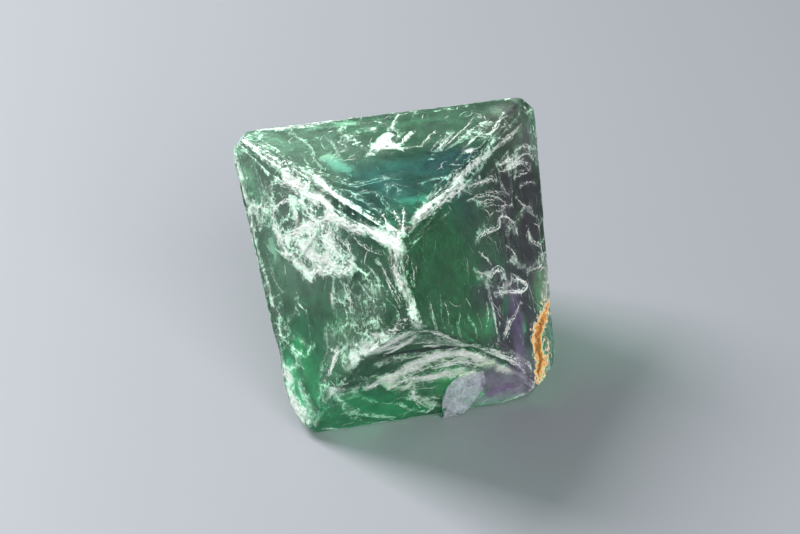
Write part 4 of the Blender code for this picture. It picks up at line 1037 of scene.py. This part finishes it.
body.verts.index_update()
triangles = np.array([[v.index for v in face.verts] for face in body.faces])
normals = np.array([v.normal[:] for v in body.verts])
corner_points = surface[triangles]
faces_out = np.cross(corner_points[:, 1] - corner_points[:, 0], corner_points[:, 2] - corner_points[:, 0])
faces_out /= np.linalg.norm(faces_out, axis=1)[:, None] + 1e-12
nearest_face, _, away = edge_distance(corner_points.mean(axis=1))
steep = ((faces_out * outs[nearest_face]).sum(axis=1) < 0.93) & (away > 0.7)
steep &= nearest_face != names.index("front")
on_steps = np.unique(triangles[steep])
marks[on_steps] = np.maximum(marks[on_steps], STEP_PAINT)
print("triangles on steps and nicks:", int(steep.sum()))
crystal = finish_piece("crystal", surface, triangles, stone, marks, grains)
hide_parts("fluorite_octahedron")


def skin(name, material, marks, grains, depth):
    """A copy of the marked part of the surface, a little way below it."""
    kept = triangles[(marks[triangles] > FAINTEST).any(axis=1)]
    used, renumbered = np.unique(kept, return_inverse=True)
    below = surface[used] - normals[used] * depth
    return finish_piece(name, below, renumbered.reshape(kept.shape), material, marks[used], grains[used])


skin("crushed_skin", crushed_stone, marks, grains, CRUSHED_DEPTH)
skin("haze_skin", haze_stone, haze_marks, haze_grains, HAZE_DEPTH)

# %% [markdown]
# White splinters lie scattered over each stroke, and threads run along the thin ones. Each is a ribbon a
# fraction of a millimetre wide. A ray is shot into the face under each splinter, and under each point of
# a thread, and the ribbon is laid where the ray lands, so that it follows the steps in the stone. Hair
# curves could draw them too, but they don't go into an export, and ribbons do. All choices come from one
# seeded generator, so they are the same each time.

# %% Ribbons
finder = BVHTree.FromBMesh(body)
rng = np.random.default_rng(7)
STICK_OUT = 0.04  # where a ribbon stands further above the stone than this, it is cut away
RAY_START, RAY_LENGTH = 2, 3.2  # how far above the face a ray starts, and how far it may go


class Strands:
    """Many thin ribbons gathered into one mesh."""

    def __init__(self):
        self.points, self.faces, self.marks, self.grains = [], [], [], []

    def ribbon(self, spots, sides, widths, mark):
        first = len(self.points)
        for i, (spot, side, wide) in enumerate(zip(spots, sides, widths)):
            self.points += [spot - side * wide, spot + side * wide]
            self.marks += [mark, mark]
            self.grains += [(i * 0.8, -0.3, first * 0.37), (i * 0.8, 0.3, first * 0.37)]
            if i:
                k = first + 2 * i
                self.faces += [(k - 2, k - 1, k + 1), (k - 2, k + 1, k)]

    def piece(self, name, material):
        """Cuts away what sticks out of the stone or the part's box, and makes the rest one object."""
        out = []
        for point in self.points:
            near_point, normal, _, _ = finder.find_nearest(Vector(point))
            out.append((Vector(point) - near_point).dot(normal) > STICK_OUT
                       or any(point * MM < cad_low) or any(point * MM > cad_high))
        kept = [f for f in self.faces if not any(out[i] for i in f)]
        used, renumbered = np.unique(np.array(kept), return_inverse=True)
        return finish_piece(name, np.array(self.points)[used], renumbered.reshape(-1, 3), material,
                            np.array(self.marks)[used], np.array(self.grains)[used])


def landing(face, across, up):
    """Where a line straight into the face meets the body, and the body's direction outwards there."""
    spot = face.point(across, up)
    hit, normal, _, away = finder.ray_cast(Vector(spot + face.out * RAY_START), Vector(-face.out))
    if hit is None or away > RAY_LENGTH or normal.dot(Vector(face.out)) < 0.5:
        return None, None
    return np.array(hit), np.array(normal)


class Route:
    """A stroke's line, to be asked for the place and the direction ahead at any length along it."""

    def __init__(self, path):
        self.line = smooth_line(path, 0.35)
        self.run = np.concatenate(([0], np.cumsum(np.linalg.norm(np.diff(self.line, axis=0), axis=1))))
        self.total = self.run[-1]
        self.ahead = np.gradient(self.line, axis=0)

    def at(self, s):
        """Place, direction ahead and direction to the side."""
        middle, ahead = (np.array((np.interp(s, self.run, v[:, 0]), np.interp(s, self.run, v[:, 1])))
                         for v in (self.line, self.ahead))
        ahead = ahead / (np.linalg.norm(ahead) + 1e-9)
        return middle, ahead, np.array((ahead[1], -ahead[0]))


# %% [markdown]
# A thread wanders a little from its stroke, and it is thin and broken in places. A splinter is short,
# lies roughly along the stroke and bends a little.

# %% Threads and splinters along each stroke
SPLINTER_PARTS = np.linspace(-0.5, 0.5, 4)
THREAD_STEP = 0.17
THREAD_HALF_WIDTH = (0.035, 0.078)
BROKEN_SHARE, BROKEN_WIDTH = 0.28, 0.12
# splinters: how many to a hair, how far they turn from the stroke (radians), and their scale of length
ON_THREADS, ON_WIDE_STROKES = (2, 0.9, 0.14), (4, 0.35, 0.45)


def draw_thread(face, route, start, sink, mark, strands):
    """One ribbon along part of the stroke."""
    length = route.total * rng.uniform(0.4, 1.0)
    begin = rng.uniform(0, route.total - length + 1e-6)
    count = max(4, int(length / THREAD_STEP))
    jag = rng.normal(0, 0.05, count).cumsum() + rng.normal(0, 0.045, count)
    jag += rng.normal(0, start * 0.2)
    spots, sides = [], []
    for s, off in zip(np.linspace(begin, begin + length, count), jag):
        middle, _, side = route.at(s)
        hit, normal = landing(face, *(middle + side * off))
        if hit is None:
            continue
        spots.append(hit - normal * (sink + abs(rng.normal(0, 0.01))))
        sides.append(face.across * side[0] + face.up * side[1])
    if len(spots) > 2:
        shape = np.sin(np.linspace(0.1, math.pi - 0.1, len(spots))) ** 0.5
        thin = rng.uniform(*THREAD_HALF_WIDTH) * shape * rng.uniform(0.5, 1.5, len(spots))
        thin *= np.where(rng.random(len(spots)) < BROKEN_SHARE, BROKEN_WIDTH, 1.0)
        strands.ribbon(spots, sides, thin, mark)


def draw_splinter(face, route, widths, below_at, turn_by, scale, mark, clear, strands):
    """One short ribbon somewhere on the stroke, unless it would lie in a clear window."""
    s = rng.uniform(0, route.total)
    middle, ahead, side = route.at(s)
    wide = widths[0] + (widths[1] - widths[0]) * s / route.total
    middle = middle + side * (rng.uniform(-0.5, 0.5) + rng.normal(0, 0.12)) * wide
    if any(math.hypot(*(middle - spot[:2])) < spot[2] * 1.1 and rng.random() < spot[3] for spot in clear):
        return
    hit, normal = landing(face, *middle)
    if hit is None:
        return
    turn = rng.normal(0, turn_by)
    ahead = ahead * math.cos(turn) + side * math.sin(turn)
    ahead = face.across * ahead[0] + face.up * ahead[1]
    ahead = ahead - normal * (ahead @ normal) + normal * rng.normal(0, 0.04)
    ahead /= np.linalg.norm(ahead)
    across = np.cross(normal, ahead)
    length = rng.gamma(2.0, scale) + 0.12
    thin = rng.gamma(2.0, 0.017) + 0.010
    bend = rng.normal(0, 0.10) * length
    below = below_at()
    spots = [hit - normal * below + ahead * length * t + across * bend * (4 * t * t) for t in SPLINTER_PARTS]
    strands.ribbon(spots, [across] * len(spots), thin * np.array((0.25, 1, rng.uniform(0.5, 1), 0.15)),
                   mark * rng.uniform(0.7, 1.0))


def draw(face, stroke, strands, clear=()):
    """Lays a stroke's ribbons on the stone, or as deep in it as the stroke is."""
    start, end, power, hairs, depth, path = stroke
    route = Route(path)
    is_thread = start < THREAD
    sink = -0.012 if depth <= 0.1 else depth * 0.4 if depth < DEEP else depth
    mark = min(1.0, (0.42 if is_thread else 0.30) + 0.75 * power)
    for _ in range((hairs + 1) // 2 if is_thread else 0):
        draw_thread(face, route, start, sink, mark, strands)
    to_a_hair, turn_by, scale = ON_THREADS if is_thread else ON_WIDE_STROKES

    def below_at():
        return sink if depth < DEEP else abs(rng.normal(depth, 0.3))

    for _ in range(hairs * to_a_hair):
        draw_splinter(face, route, (start, end), below_at, turn_by, scale, mark, clear, strands)


white = Strands()
for name, strokes in STROKES.items():
    for stroke in strokes:
        draw(face_of[name], stroke, white, WINDOWS.get(name, ()))
print("points of white ribbons along strokes:", len(white.points))

# %% [markdown]
# Between the strokes, clear stone is full of small flecks. They lie in patches, where a slow noise is
# high, and mostly along one direction on each face.

# %% Flecks
# how many, their main direction on the face in degrees, and how far they stray from it
FLECKS = {"left_front": (900, 95, 24), "right_front": (800, 88, 26), "top": (700, 48, 34),
          "front": (450, 15, 26), "back": (500, 90, 40), "left_back": (500, 80, 50),
          "right_back": (500, 100, 50), "rest": (300, 0, 90)}
FLECK_PARTS = np.linspace(-0.5, 0.5, 5)
FLECK_DEPTHS = (-0.01, 0.05, 0.3)

for name, (count, lean, stray) in FLECKS.items():
    corners, face = corners_of(name), face_of[name]
    for _ in range(count):
        spot = spot_inside(corners, rng, 1.0)
        if noise.fractal(Vector(face.point(*spot)) * 0.22, 0.9, 2.0, 3) < rng.uniform(0.0, 0.35):
            continue
        angle = math.radians(rng.normal(lean, stray))
        hit, normal = landing(face, *spot)
        if hit is None:
            continue
        line = face.across * math.cos(angle) + face.up * math.sin(angle)
        side = np.cross(normal, line)
        length, bend = rng.gamma(2.0, 0.45) + 0.2, rng.normal(0, 0.15)
        below = rng.choice(FLECK_DEPTHS)
        spots = [hit - normal * below + line * length * t + side * length * bend * (4 * t * t)
                 for t in FLECK_PARTS]
        thin = (rng.gamma(2.0, 0.012) + 0.014) * np.array((0.2, 0.8, 1, 0.7, 0.2))
        white.ribbon(spots, [side] * len(spots), thin, rng.uniform(0.35, 0.9))
white.piece("strands", strand_stone)

# %% [markdown]
# Where a crack stands open, no light comes back, and it looks black between white walls. This is painted
# shade: ribbons too, of a plain dark material, laid along the cracks where they lie in shadow.

# %% Painted shade in the gaps between the streaks
# the same columns as the strokes above
PAINTED_SHADOW_LINES = {
    "front": [
        (0.5, 0.4, 0.9, 80, 0.02, [(-7.5, 4.7), (-5.7, 4.6), (-3.9, 4.8), (-1.9, 4.7), (0.6, 4.7),
                                   (2.9, 3.8)]),
        (0.5, 0.4, 0.9, 40, 0.02, [(-3.9, 4.6), (-2.2, 4.5), (-0.4, 4.3)]),
        (0.4, 0.3, 0.6, 2, 0.02, [(-4.8, 26.8), (-4.5, 23.6), (-4, 19.9), (-3.1, 16)]),
        (0.4, 0.3, 0.6, 5, 0.02, [(-13.1, -4.8), (-12.1, -2.7), (-10.6, -1.3), (-9.1, -0.3)]),
    ],
    "left_front": [
        (0.35, 0.3, 0.9, 8, 0.02, [(1.3, 8), (2.8, 7.7), (4, 7.5), (5.3, 7.3)]),
        (0.4, 0.3, 0.6, 6, 0.02, [(0.2, 12.2), (3, 11.8), (5.6, 11.7), (8.6, 12)]),
        (0.4, 0.3, 0.6, 3, 0.02, [(14, 12.4), (14.6, 10.5), (15.6, 8.6), (17.1, 6.9)]),
        (0.35, 0.3, 0.6, 5, 0.02, [(12.1, 11.2), (12.4, 9.2), (13.1, 7.7)]),
        (0.4, 0.3, 0.5, 5, 0.02, [(-10.2, 10.8), (-7.7, 10.5), (-5.3, 10.4)]),
        (0.3, 0.3, 0.5, 5, 0.02, [(-4.8, 8.2), (-2.4, 8), (-0.3, 7.5)]),
    ],
    "right_front": [
        (0.4, 0.3, 0.6, 2, 0.02, [(-16.1, 11.6), (-17.1, 10), (-18, 8), (-18.3, 5.6)]),
        (0.4, 0.3, 0.7, 5, 0.02, [(-3, -1.7), (-1.1, -3.1), (0.4, -4.3)]),
        (0.4, 0.3, 0.6, 5, 0.02, [(-1.4, 3.2), (1.1, 2.5), (3.4, 1.6), (5.3, 0.8)]),
        (0.4, 0.3, 0.6, 5, 0.02, [(8.6, -3.6), (9.4, -5.4), (8.3, -6.3)]),
    ],
}
dark = Strands()
for name, strokes in PAINTED_SHADOW_LINES.items():
    for stroke in strokes:
        draw(face_of[name], stroke, dark)
# the plain dark colour of these ribbons is painted shadow, not a colour of the stone
dark.piece("painted_shadow_gaps", plain_material("painted shadow gaps", (0.012, 0.035, 0.026), 0.5))

# %% [markdown]
# ## Deep veils
# Inside the stone, healed cracks hang like thin curtains along its cleavage. They are bent sheets that
# lie up to about eleven millimetres below the nearest face, cloudy in the middle and fading to nothing
# at the rim. Noise in the volume could make them too, but it wouldn't go into an export, and sheets do.

# %% Deep veils
# middle in mm, face it runs along, radius, strength
VEILS = [((-8.0, -3.0, 24.0), "top", 7.5, 0.55), ((2.0, -6.0, 25.0), "left_front", 7.0, 0.5),
         ((-6.0, -8.0, 14.0), "right_front", 7.0, 0.5), ((6.0, -3.0, 19.0), "back", 7.5, 0.5),
         ((0.0, -6.0, 8.0), "front", 7.5, 0.5), ((-2.0, 5.0, 22.0), "left_back", 7.5, 0.45),
         ((8.0, 3.0, 11.0), "top", 6.5, 0.45), ((-5.0, 4.0, 10.0), "right_back", 7.5, 0.45),
         ((4.0, 8.0, 25.0), "left_front", 6.0, 0.45), ((0.5, -1.0, 15.0), "top", 9.0, 0.4)]
VEIL_ROWS = 44
VEIL_BEND = 2.2
veil_points, veil_faces, veil_marks, veil_grains = [], [], [], []


def noise_over(across, up, height, scale, shift, roughness, octaves):
    """Smooth noise for each spot of a sheet."""
    return np.array([noise.fractal(Vector((a, u, height)) * scale + shift, roughness, 2.0, octaves)
                     for a, u in zip(across, up)])


for number, (middle, along_face, radius, power) in enumerate(VEILS):
    face = face_of[along_face]
    ticks = np.linspace(-radius, radius, VEIL_ROWS)
    across, up = (g.ravel() for g in np.meshgrid(ticks, ticks))
    shift = Vector((17.0 * number, 0, 0))
    sink = noise_over(across, up, 0, 0.16, shift, 1.0, 3) * VEIL_BEND
    cloud = noise_over(across, up, 9, 0.28, shift, 0.8, 4)
    spots = np.array(middle) + np.outer(across, face.across) + np.outer(up, face.up)
    spots += np.outer(sink, face.out)
    fade = np.clip(1.15 - np.hypot(across, up) / radius + cloud * 0.5, 0, 1)
    edge = np.clip((depths_below(spots).min(axis=1) - 0.5) / 1.5, 0, 1)
    mark = power * fade * edge * np.clip(0.7 + cloud, 0, 1.3)
    first = len(veil_points)
    veil_points += list(spots)
    veil_marks += list(mark)
    veil_grains += list(np.stack((across, up, np.full(len(up), 11.0 * number)), axis=1))
    for row in range(VEIL_ROWS - 1):
        for column in range(VEIL_ROWS - 1):
            a = row * VEIL_ROWS + column
            corner = (a, a + 1, a + VEIL_ROWS + 1, a + VEIL_ROWS)
            if max(mark[c] for c in corner) > FAINTEST and min(edge[c] for c in corner) > 0:
                veil_faces += [(first + corner[0], first + corner[1], first + corner[2]),
                               (first + corner[0], first + corner[2], first + corner[3])]
finish_piece("deep_veils", veil_points, veil_faces, deep_stone, veil_marks, veil_grains)

# %% [markdown]
# ## Clouds of colour
# Fluorite grows in bands of colour. Dark purple lies under the right side, deep green beside it, dark
# teal under the front of the top, and lilac at the right foot. Each band is a thin coloured sheet just
# below the face, with soft torn edges. It is laid out with strokes as well, wide ones without hairs.
# The pale cloud is partly painted light: it lies where lamp light falls on the back of the top and the upper
# left, and where light glows through at the lower left.

# %% Clouds of colour
# colour, opacity, depth, and by face: start width, end width, strength, points (across, up)
CLOUDS = {
    "purple_cloud": ((0.045, 0.032, 0.052), 0.9, 0.3, {
        "right_front": [
            (4.0, 5.5, 0.95, [(16.9, 7.1), (14.4, 4.1), (11.8, 0.3), (8.5, -3), (6.5, -6.1)]),
            (3.6, 3.0, 0.8, [(-6.6, -1.8), (-2.4, -3.9), (2.2, -6.6)]),
            (3.0, 3.0, 0.7, [(-2.4, -0.3), (0.1, -3.1), (3.6, -5.7)]),
            (5.0, 3.6, 0.85, [(8.4, 4.6), (5.7, 2.5), (4.3, -0.4), (3.3, -3.1)]),
            (4.0, 4.0, 0.9, [(3.1, -6.4), (0.2, -8.4), (-2.7, -10.3), (-3.5, -13.6), (-3.6, -16)]),
            (3.0, 2.6, 0.7, [(-3, -5.5), (-3.9, -8), (-4.3, -10.7)]),
            (4.0, 4.0, 0.9, [(4.3, -9.5), (1.8, -12.5), (-0.7, -14.7), (-2.2, -17.3)]),
        ],
        "top": [
            (3.0, 2.4, 0.6, [(15.7, 9.3), (16.7, 6.6), (17, 3.5)]),
        ],
        "front": [
            (4.6, 4.0, 0.8, [(6.3, -4.2), (9.1, -7.3), (12.1, -8.2)]),
            (2.6, 2.2, 0.7, [(9.9, -3.8), (12.4, -5.9), (14.1, -6.8)]),
        ]}),
    "green_cloud": ((0.012, 0.085, 0.034), 0.8, 0.6, {
        "right_front": [
            (5.0, 5.0, 0.9, [(-11.7, 10.3), (-12.3, 6.9), (-13.3, 3.5), (-14.2, -0.3)]),
            (5.0, 5.0, 0.9, [(-4.1, 8.5), (-5.7, 5.1), (-6.9, 1.5), (-7.4, -3.4)]),
            (3.0, 3.0, 0.8, [(-11.6, -2.8), (-8.4, -6.8), (-6.3, -10.1)]),
            (3.0, 2.5, 0.6, [(3.9, 7.3), (7.6, 6.6), (11.2, 5.7)]),
        ],
        "left_front": [
            (4.0, 4.0, 1.0, [(-4.8, -2.8), (-2.2, -3.7), (0.5, -4.8)]),
            (3.2, 2.8, 0.9, [(0.1, 0.5), (2, -0.9), (2.2, -3.4)]),
            (3.6, 3.6, 0.7, [(5.8, 6.3), (8.6, 5.7), (12.3, 4.2)]),
            (2.6, 2.6, 0.5, [(-3.4, 1.9), (-5.7, -0.7), (-5.9, -3.4)]),
        ]}),
    "teal_cloud": ((0.01, 0.07, 0.064), 0.84, 0.6, {
        "top": [
            (4.5, 4.5, 0.9, [(-6.9, -1), (-3.9, -4.4), (-1.9, -8.5), (-1.5, -12.2)]),
            (4.5, 3.0, 0.9, [(-4.3, -0.8), (-0.3, -1.6), (3.9, -3.1)]),
            (2.6, 2.4, 1.0, [(2.9, -1.5), (5.3, -0.8), (8.5, -0.2)]),
        ]}),
    "emerald_cloud": ((0.03, 0.34, 0.15), 0.55, 0.4, {
        "left_front": [
            (3.2, 3.2, 0.8, [(-1.7, -9.3), (0.2, -10.7), (2.2, -12.3), (3.7, -13.8)]),
        ],
        "front": [
            (3.6, 4.2, 0.8, [(-10.3, -4.2), (-7.7, -7.3), (-4.2, -9.2), (-0.7, -9.3)]),
        ]}),
    "violet_cloud": ((0.38, 0.25, 0.44), 0.85, 0.14, {
        "right_front": [
            (3.2, 3.2, 0.62, [(0.9, -6.7), (-0.5, -9.1), (-1.9, -11.6), (-3.2, -14.7)]),
            (1.8, 1.6, 0.9, [(0.5, -9.8), (-1.1, -11.8), (-2.8, -13.1)]),
        ],
        "front": [
            (1.6, 1.4, 0.9, [(7.9, -8.4), (9.1, -7.6), (10.4, -7.2)]),
        ]}),
    "lilac_cloud": ((0.42, 0.38, 0.46), 0.74, 0.16, {
        "front": [
            (4.6, 4.0, 0.75, [(6.5, -4.2), (9.3, -6.9), (12.3, -7.7)]),
            (3.0, 2.6, 0.75, [(7.4, -9.7), (10.1, -9.5), (13, -8.9), (14.4, -7.4)]),
            (2.6, 2.0, 0.6, [(7.9, -1.8), (10.5, -4.4), (12.7, -6)]),
        ],
        "right_front": [
            (2.6, 2.8, 0.8, [(10.7, -8.1), (9.4, -10.1), (7.4, -11.3)]),
            (2.6, 2.4, 0.95, [(7.4, -12.8), (5.3, -15.8), (2.8, -17.9)]),
            (2.0, 2.0, 0.4, [(18, 7.7), (17.8, 5.1), (16.9, 3.2)]),
        ]}),
    "navy_cloud": ((0.008, 0.035, 0.045), 0.8, 0.45, {
        "top": [
            (2.4, 2.6, 0.9, [(3.1, -2), (5.3, -1), (7.7, -0.5)]),
            (1.6, 1.4, 0.8, [(7.3, 0), (9, 0.9)]),
            (1.6, 1.6, 0.6, [(-2.7, -10.6), (-1.5, -12.2), (-0.1, -11.1)]),
        ]}),
    "turquoise_cloud": ((0.15, 0.36, 0.34), 0.7, 0.3, {
        "top": [
            (2.2, 1.8, 0.9, [(-8.9, 0.8), (-8.3, -0.3), (-7.5, -1.1)]),
            (1.6, 2.0, 0.8, [(-2, -9.4), (-0.8, -9.4), (0.5, -9.2)]),
            (1.5, 1.5, 0.5, [(-4.5, -13.6), (-4.1, -13.7)]),
        ]}),
    # partly painted light: pale where lamp light falls on the stone or shines through it
    "pale_cloud_and_painted_light": ((0.46, 0.64, 0.54), 0.68, 0.5, {
        "top": [
            (4.2, 4.2, 0.8, [(-17.5, 8.3), (-14.6, 7.5), (-11.5, 7.1)]),
            (3.0, 3.0, 0.6, [(-12.5, 5.4), (-10.4, 4), (-9.4, 2.3)]),
            (2.6, 2.2, 0.9, [(-6, 10), (-5.4, 8.4), (-4.6, 7.2)]),
        ],
        "left_front": [
            (4.2, 3.6, 1.0, [(-17.7, 11.1), (-15.5, 8.4), (-13.2, 5.8)]),
            (3.0, 2.6, 0.6, [(-12.5, 4.4), (-10.4, 2.2), (-8.7, 0.2)]),
            (3.4, 3.4, 0.7, [(5.3, -0.1), (7.7, -2), (8.3, -4.7)]),
            (3.0, 3.0, 0.5, [(10.2, 3.7), (10.8, 1), (10.7, -1.8)]),
            (3.0, 3.4, 1.0, [(-2.5, -13.1), (-0.6, -15.6), (2.3, -17.6)]),
        ],
        "front": [
            (2.0, 1.6, 0.7, [(-15.7, -8.8), (-14.4, -6.3), (-13.4, -4.2)]),
        ]}),
}


def without_hairs(strokes_of):
    """Full strokes from short ones: no hairs, and a depth that isn't asked for."""
    return {name: [(start, end, power, 0, 0, path) for start, end, power, path in strokes]
            for name, strokes in strokes_of.items()}


def cloud_material(name, colour, opacity):
    """Colour that is thick and dark in places, and thin and lighter between them."""
    material, tree, shader = new_material(name)
    wisps = grains_of(tree, vectors(tree, "MULTIPLY", place_in_mm(tree), (1.3, 1.3, 0.5)), 0.55, 7, 0.62)
    thick = add_grain(tree, named_attribute(tree, "paint", "Fac"), wisps, 1.6)
    lightness = soft_step(tree, wisps["Fac"], 0.3, 0.7, 1.5, 0.6)
    tone = add(tree, "ShaderNodeHueSaturation", {"Color": (*colour, 1), "Value": lightness})
    feed(tree, shader, {"Base Color": tone.outputs[0], "Roughness": 0.7,
                        "Alpha": soft_step(tree, thick, 0.05, 0.75, 0.0, opacity)})
    return material


for name, (colour, opacity, depth, strokes_of) in CLOUDS.items():
    skin(name, cloud_material(name, colour, opacity), *paint(surface, without_hairs(strokes_of)), depth)

# %% [markdown]
# ## Iron stain and the chipped corner
# A rusty seam lies beside the right corner: orange-brown in the middle, with a cream rim. At the foot
# of the front a thin plate has chipped, and its fresh surface is a pale lilac. Both are skins a hair
# above the stone, since colour in clear glass alone would be seen through.

# %% Iron stain
# start width, end width, strength, points (across, up)
STAIN = {
    "right_front": [
        (0.5, 1.0, 0.72, [(7.4, -12.1), (6.2, -12.7), (4.9, -13.1)]),
        (1.5, 2.0, 0.78, [(4.9, -13.1), (2.9, -13.6), (1.6, -14.7)]),
        (2.0, 1.5, 0.76, [(1.6, -14.7), (0.9, -16.3), (-0.5, -17.6)]),
        (0.6, 0.6, 0.85, [(4, -13.4), (2.6, -14.3), (1.5, -15.2)]),
        (0.6, 0.5, 0.85, [(1.4, -15.7), (1, -17), (0.1, -17.6)]),
        (0.9, 1.1, 0.3, [(6.7, -12.1), (4.1, -12.8), (1.9, -13.5)]),
        (1.8, 1.4, 0.34, [(1.8, -16), (1.1, -17.7), (-1.1, -18.7)]),
        (0.8, 0.5, 0.3, [(4, -16.2), (2.8, -17.6), (1.2, -18.4)]),
    ],
}
RUST = ((0.05, (0.76, 0.71, 0.58)), (0.30, (0.95, 0.82, 0.56)), (0.46, (0.95, 0.52, 0.15)),
        (0.68, (0.70, 0.27, 0.04)), (0.92, (0.26, 0.10, 0.02)))
STAIN_DEPTH = -0.012  # below zero, so the skin lies just above the stone

stain, tree, shader = new_material("iron stain")
grit = grains_of(tree, place_in_mm(tree), 1.7, 8, 0.7)
rust = add_grain(tree, named_attribute(tree, "paint", "Fac"), grit, 2.5)
ramp = add(tree, "ShaderNodeValToRGB", {"Fac": rust})
for spot, tone in RUST:
    ramp.color_ramp.elements.new(spot).color = (*tone, 1)
for own_stop in (0, -1):  # the ramp's own two stops, black and white
    ramp.color_ramp.elements.remove(ramp.color_ramp.elements[own_stop])
feed(tree, shader, {"Base Color": ramp.outputs["Color"], "Roughness": 0.6,
                    "Alpha": soft_step(tree, rust, 0.05, 0.35, 0.0, 0.97),
                    "Normal": bump(tree, grit["Fac"], 0.8, 0.0003)})
skin("iron_stain", stain, *paint(surface, without_hairs(STAIN)), STAIN_DEPTH)

# %% Pale plate
CHIP = np.array([(6.5, -2.1), (7.0, -5.3), (5.4, -9.4), (3.6, -12.4), (2.3, -13.5), (1.6, -12.2), (1.4, -7.9),
                 (2.0, -4.3), (3.4, -2.6)])
PLATE_PAINT, PLATE_DEPTH = 0.9, -0.01
front = face_of["front"]
spots = front.flat(surface)
inside = np.zeros(len(surface), bool)
for (x0, y0), (x1, y1) in zip(CHIP, np.roll(CHIP, -1, axis=0)):
    crosses = (y0 > spots[:, 1]) != (y1 > spots[:, 1])
    inside ^= crosses & (spots[:, 0] < (x1 - x0) * (spots[:, 1] - y0) / (y1 - y0 + 1e-12) + x0)
raised = (surface - front.foot) @ front.out
plate_marks = np.where(inside & (raised > 0.1), PLATE_PAINT, 0.0)
plate_grains = np.column_stack((spots[:, 1], spots[:, 0], np.full(len(spots), 3.0)))
skin("pale_plate", plate_stone, plate_marks, plate_grains, PLATE_DEPTH)
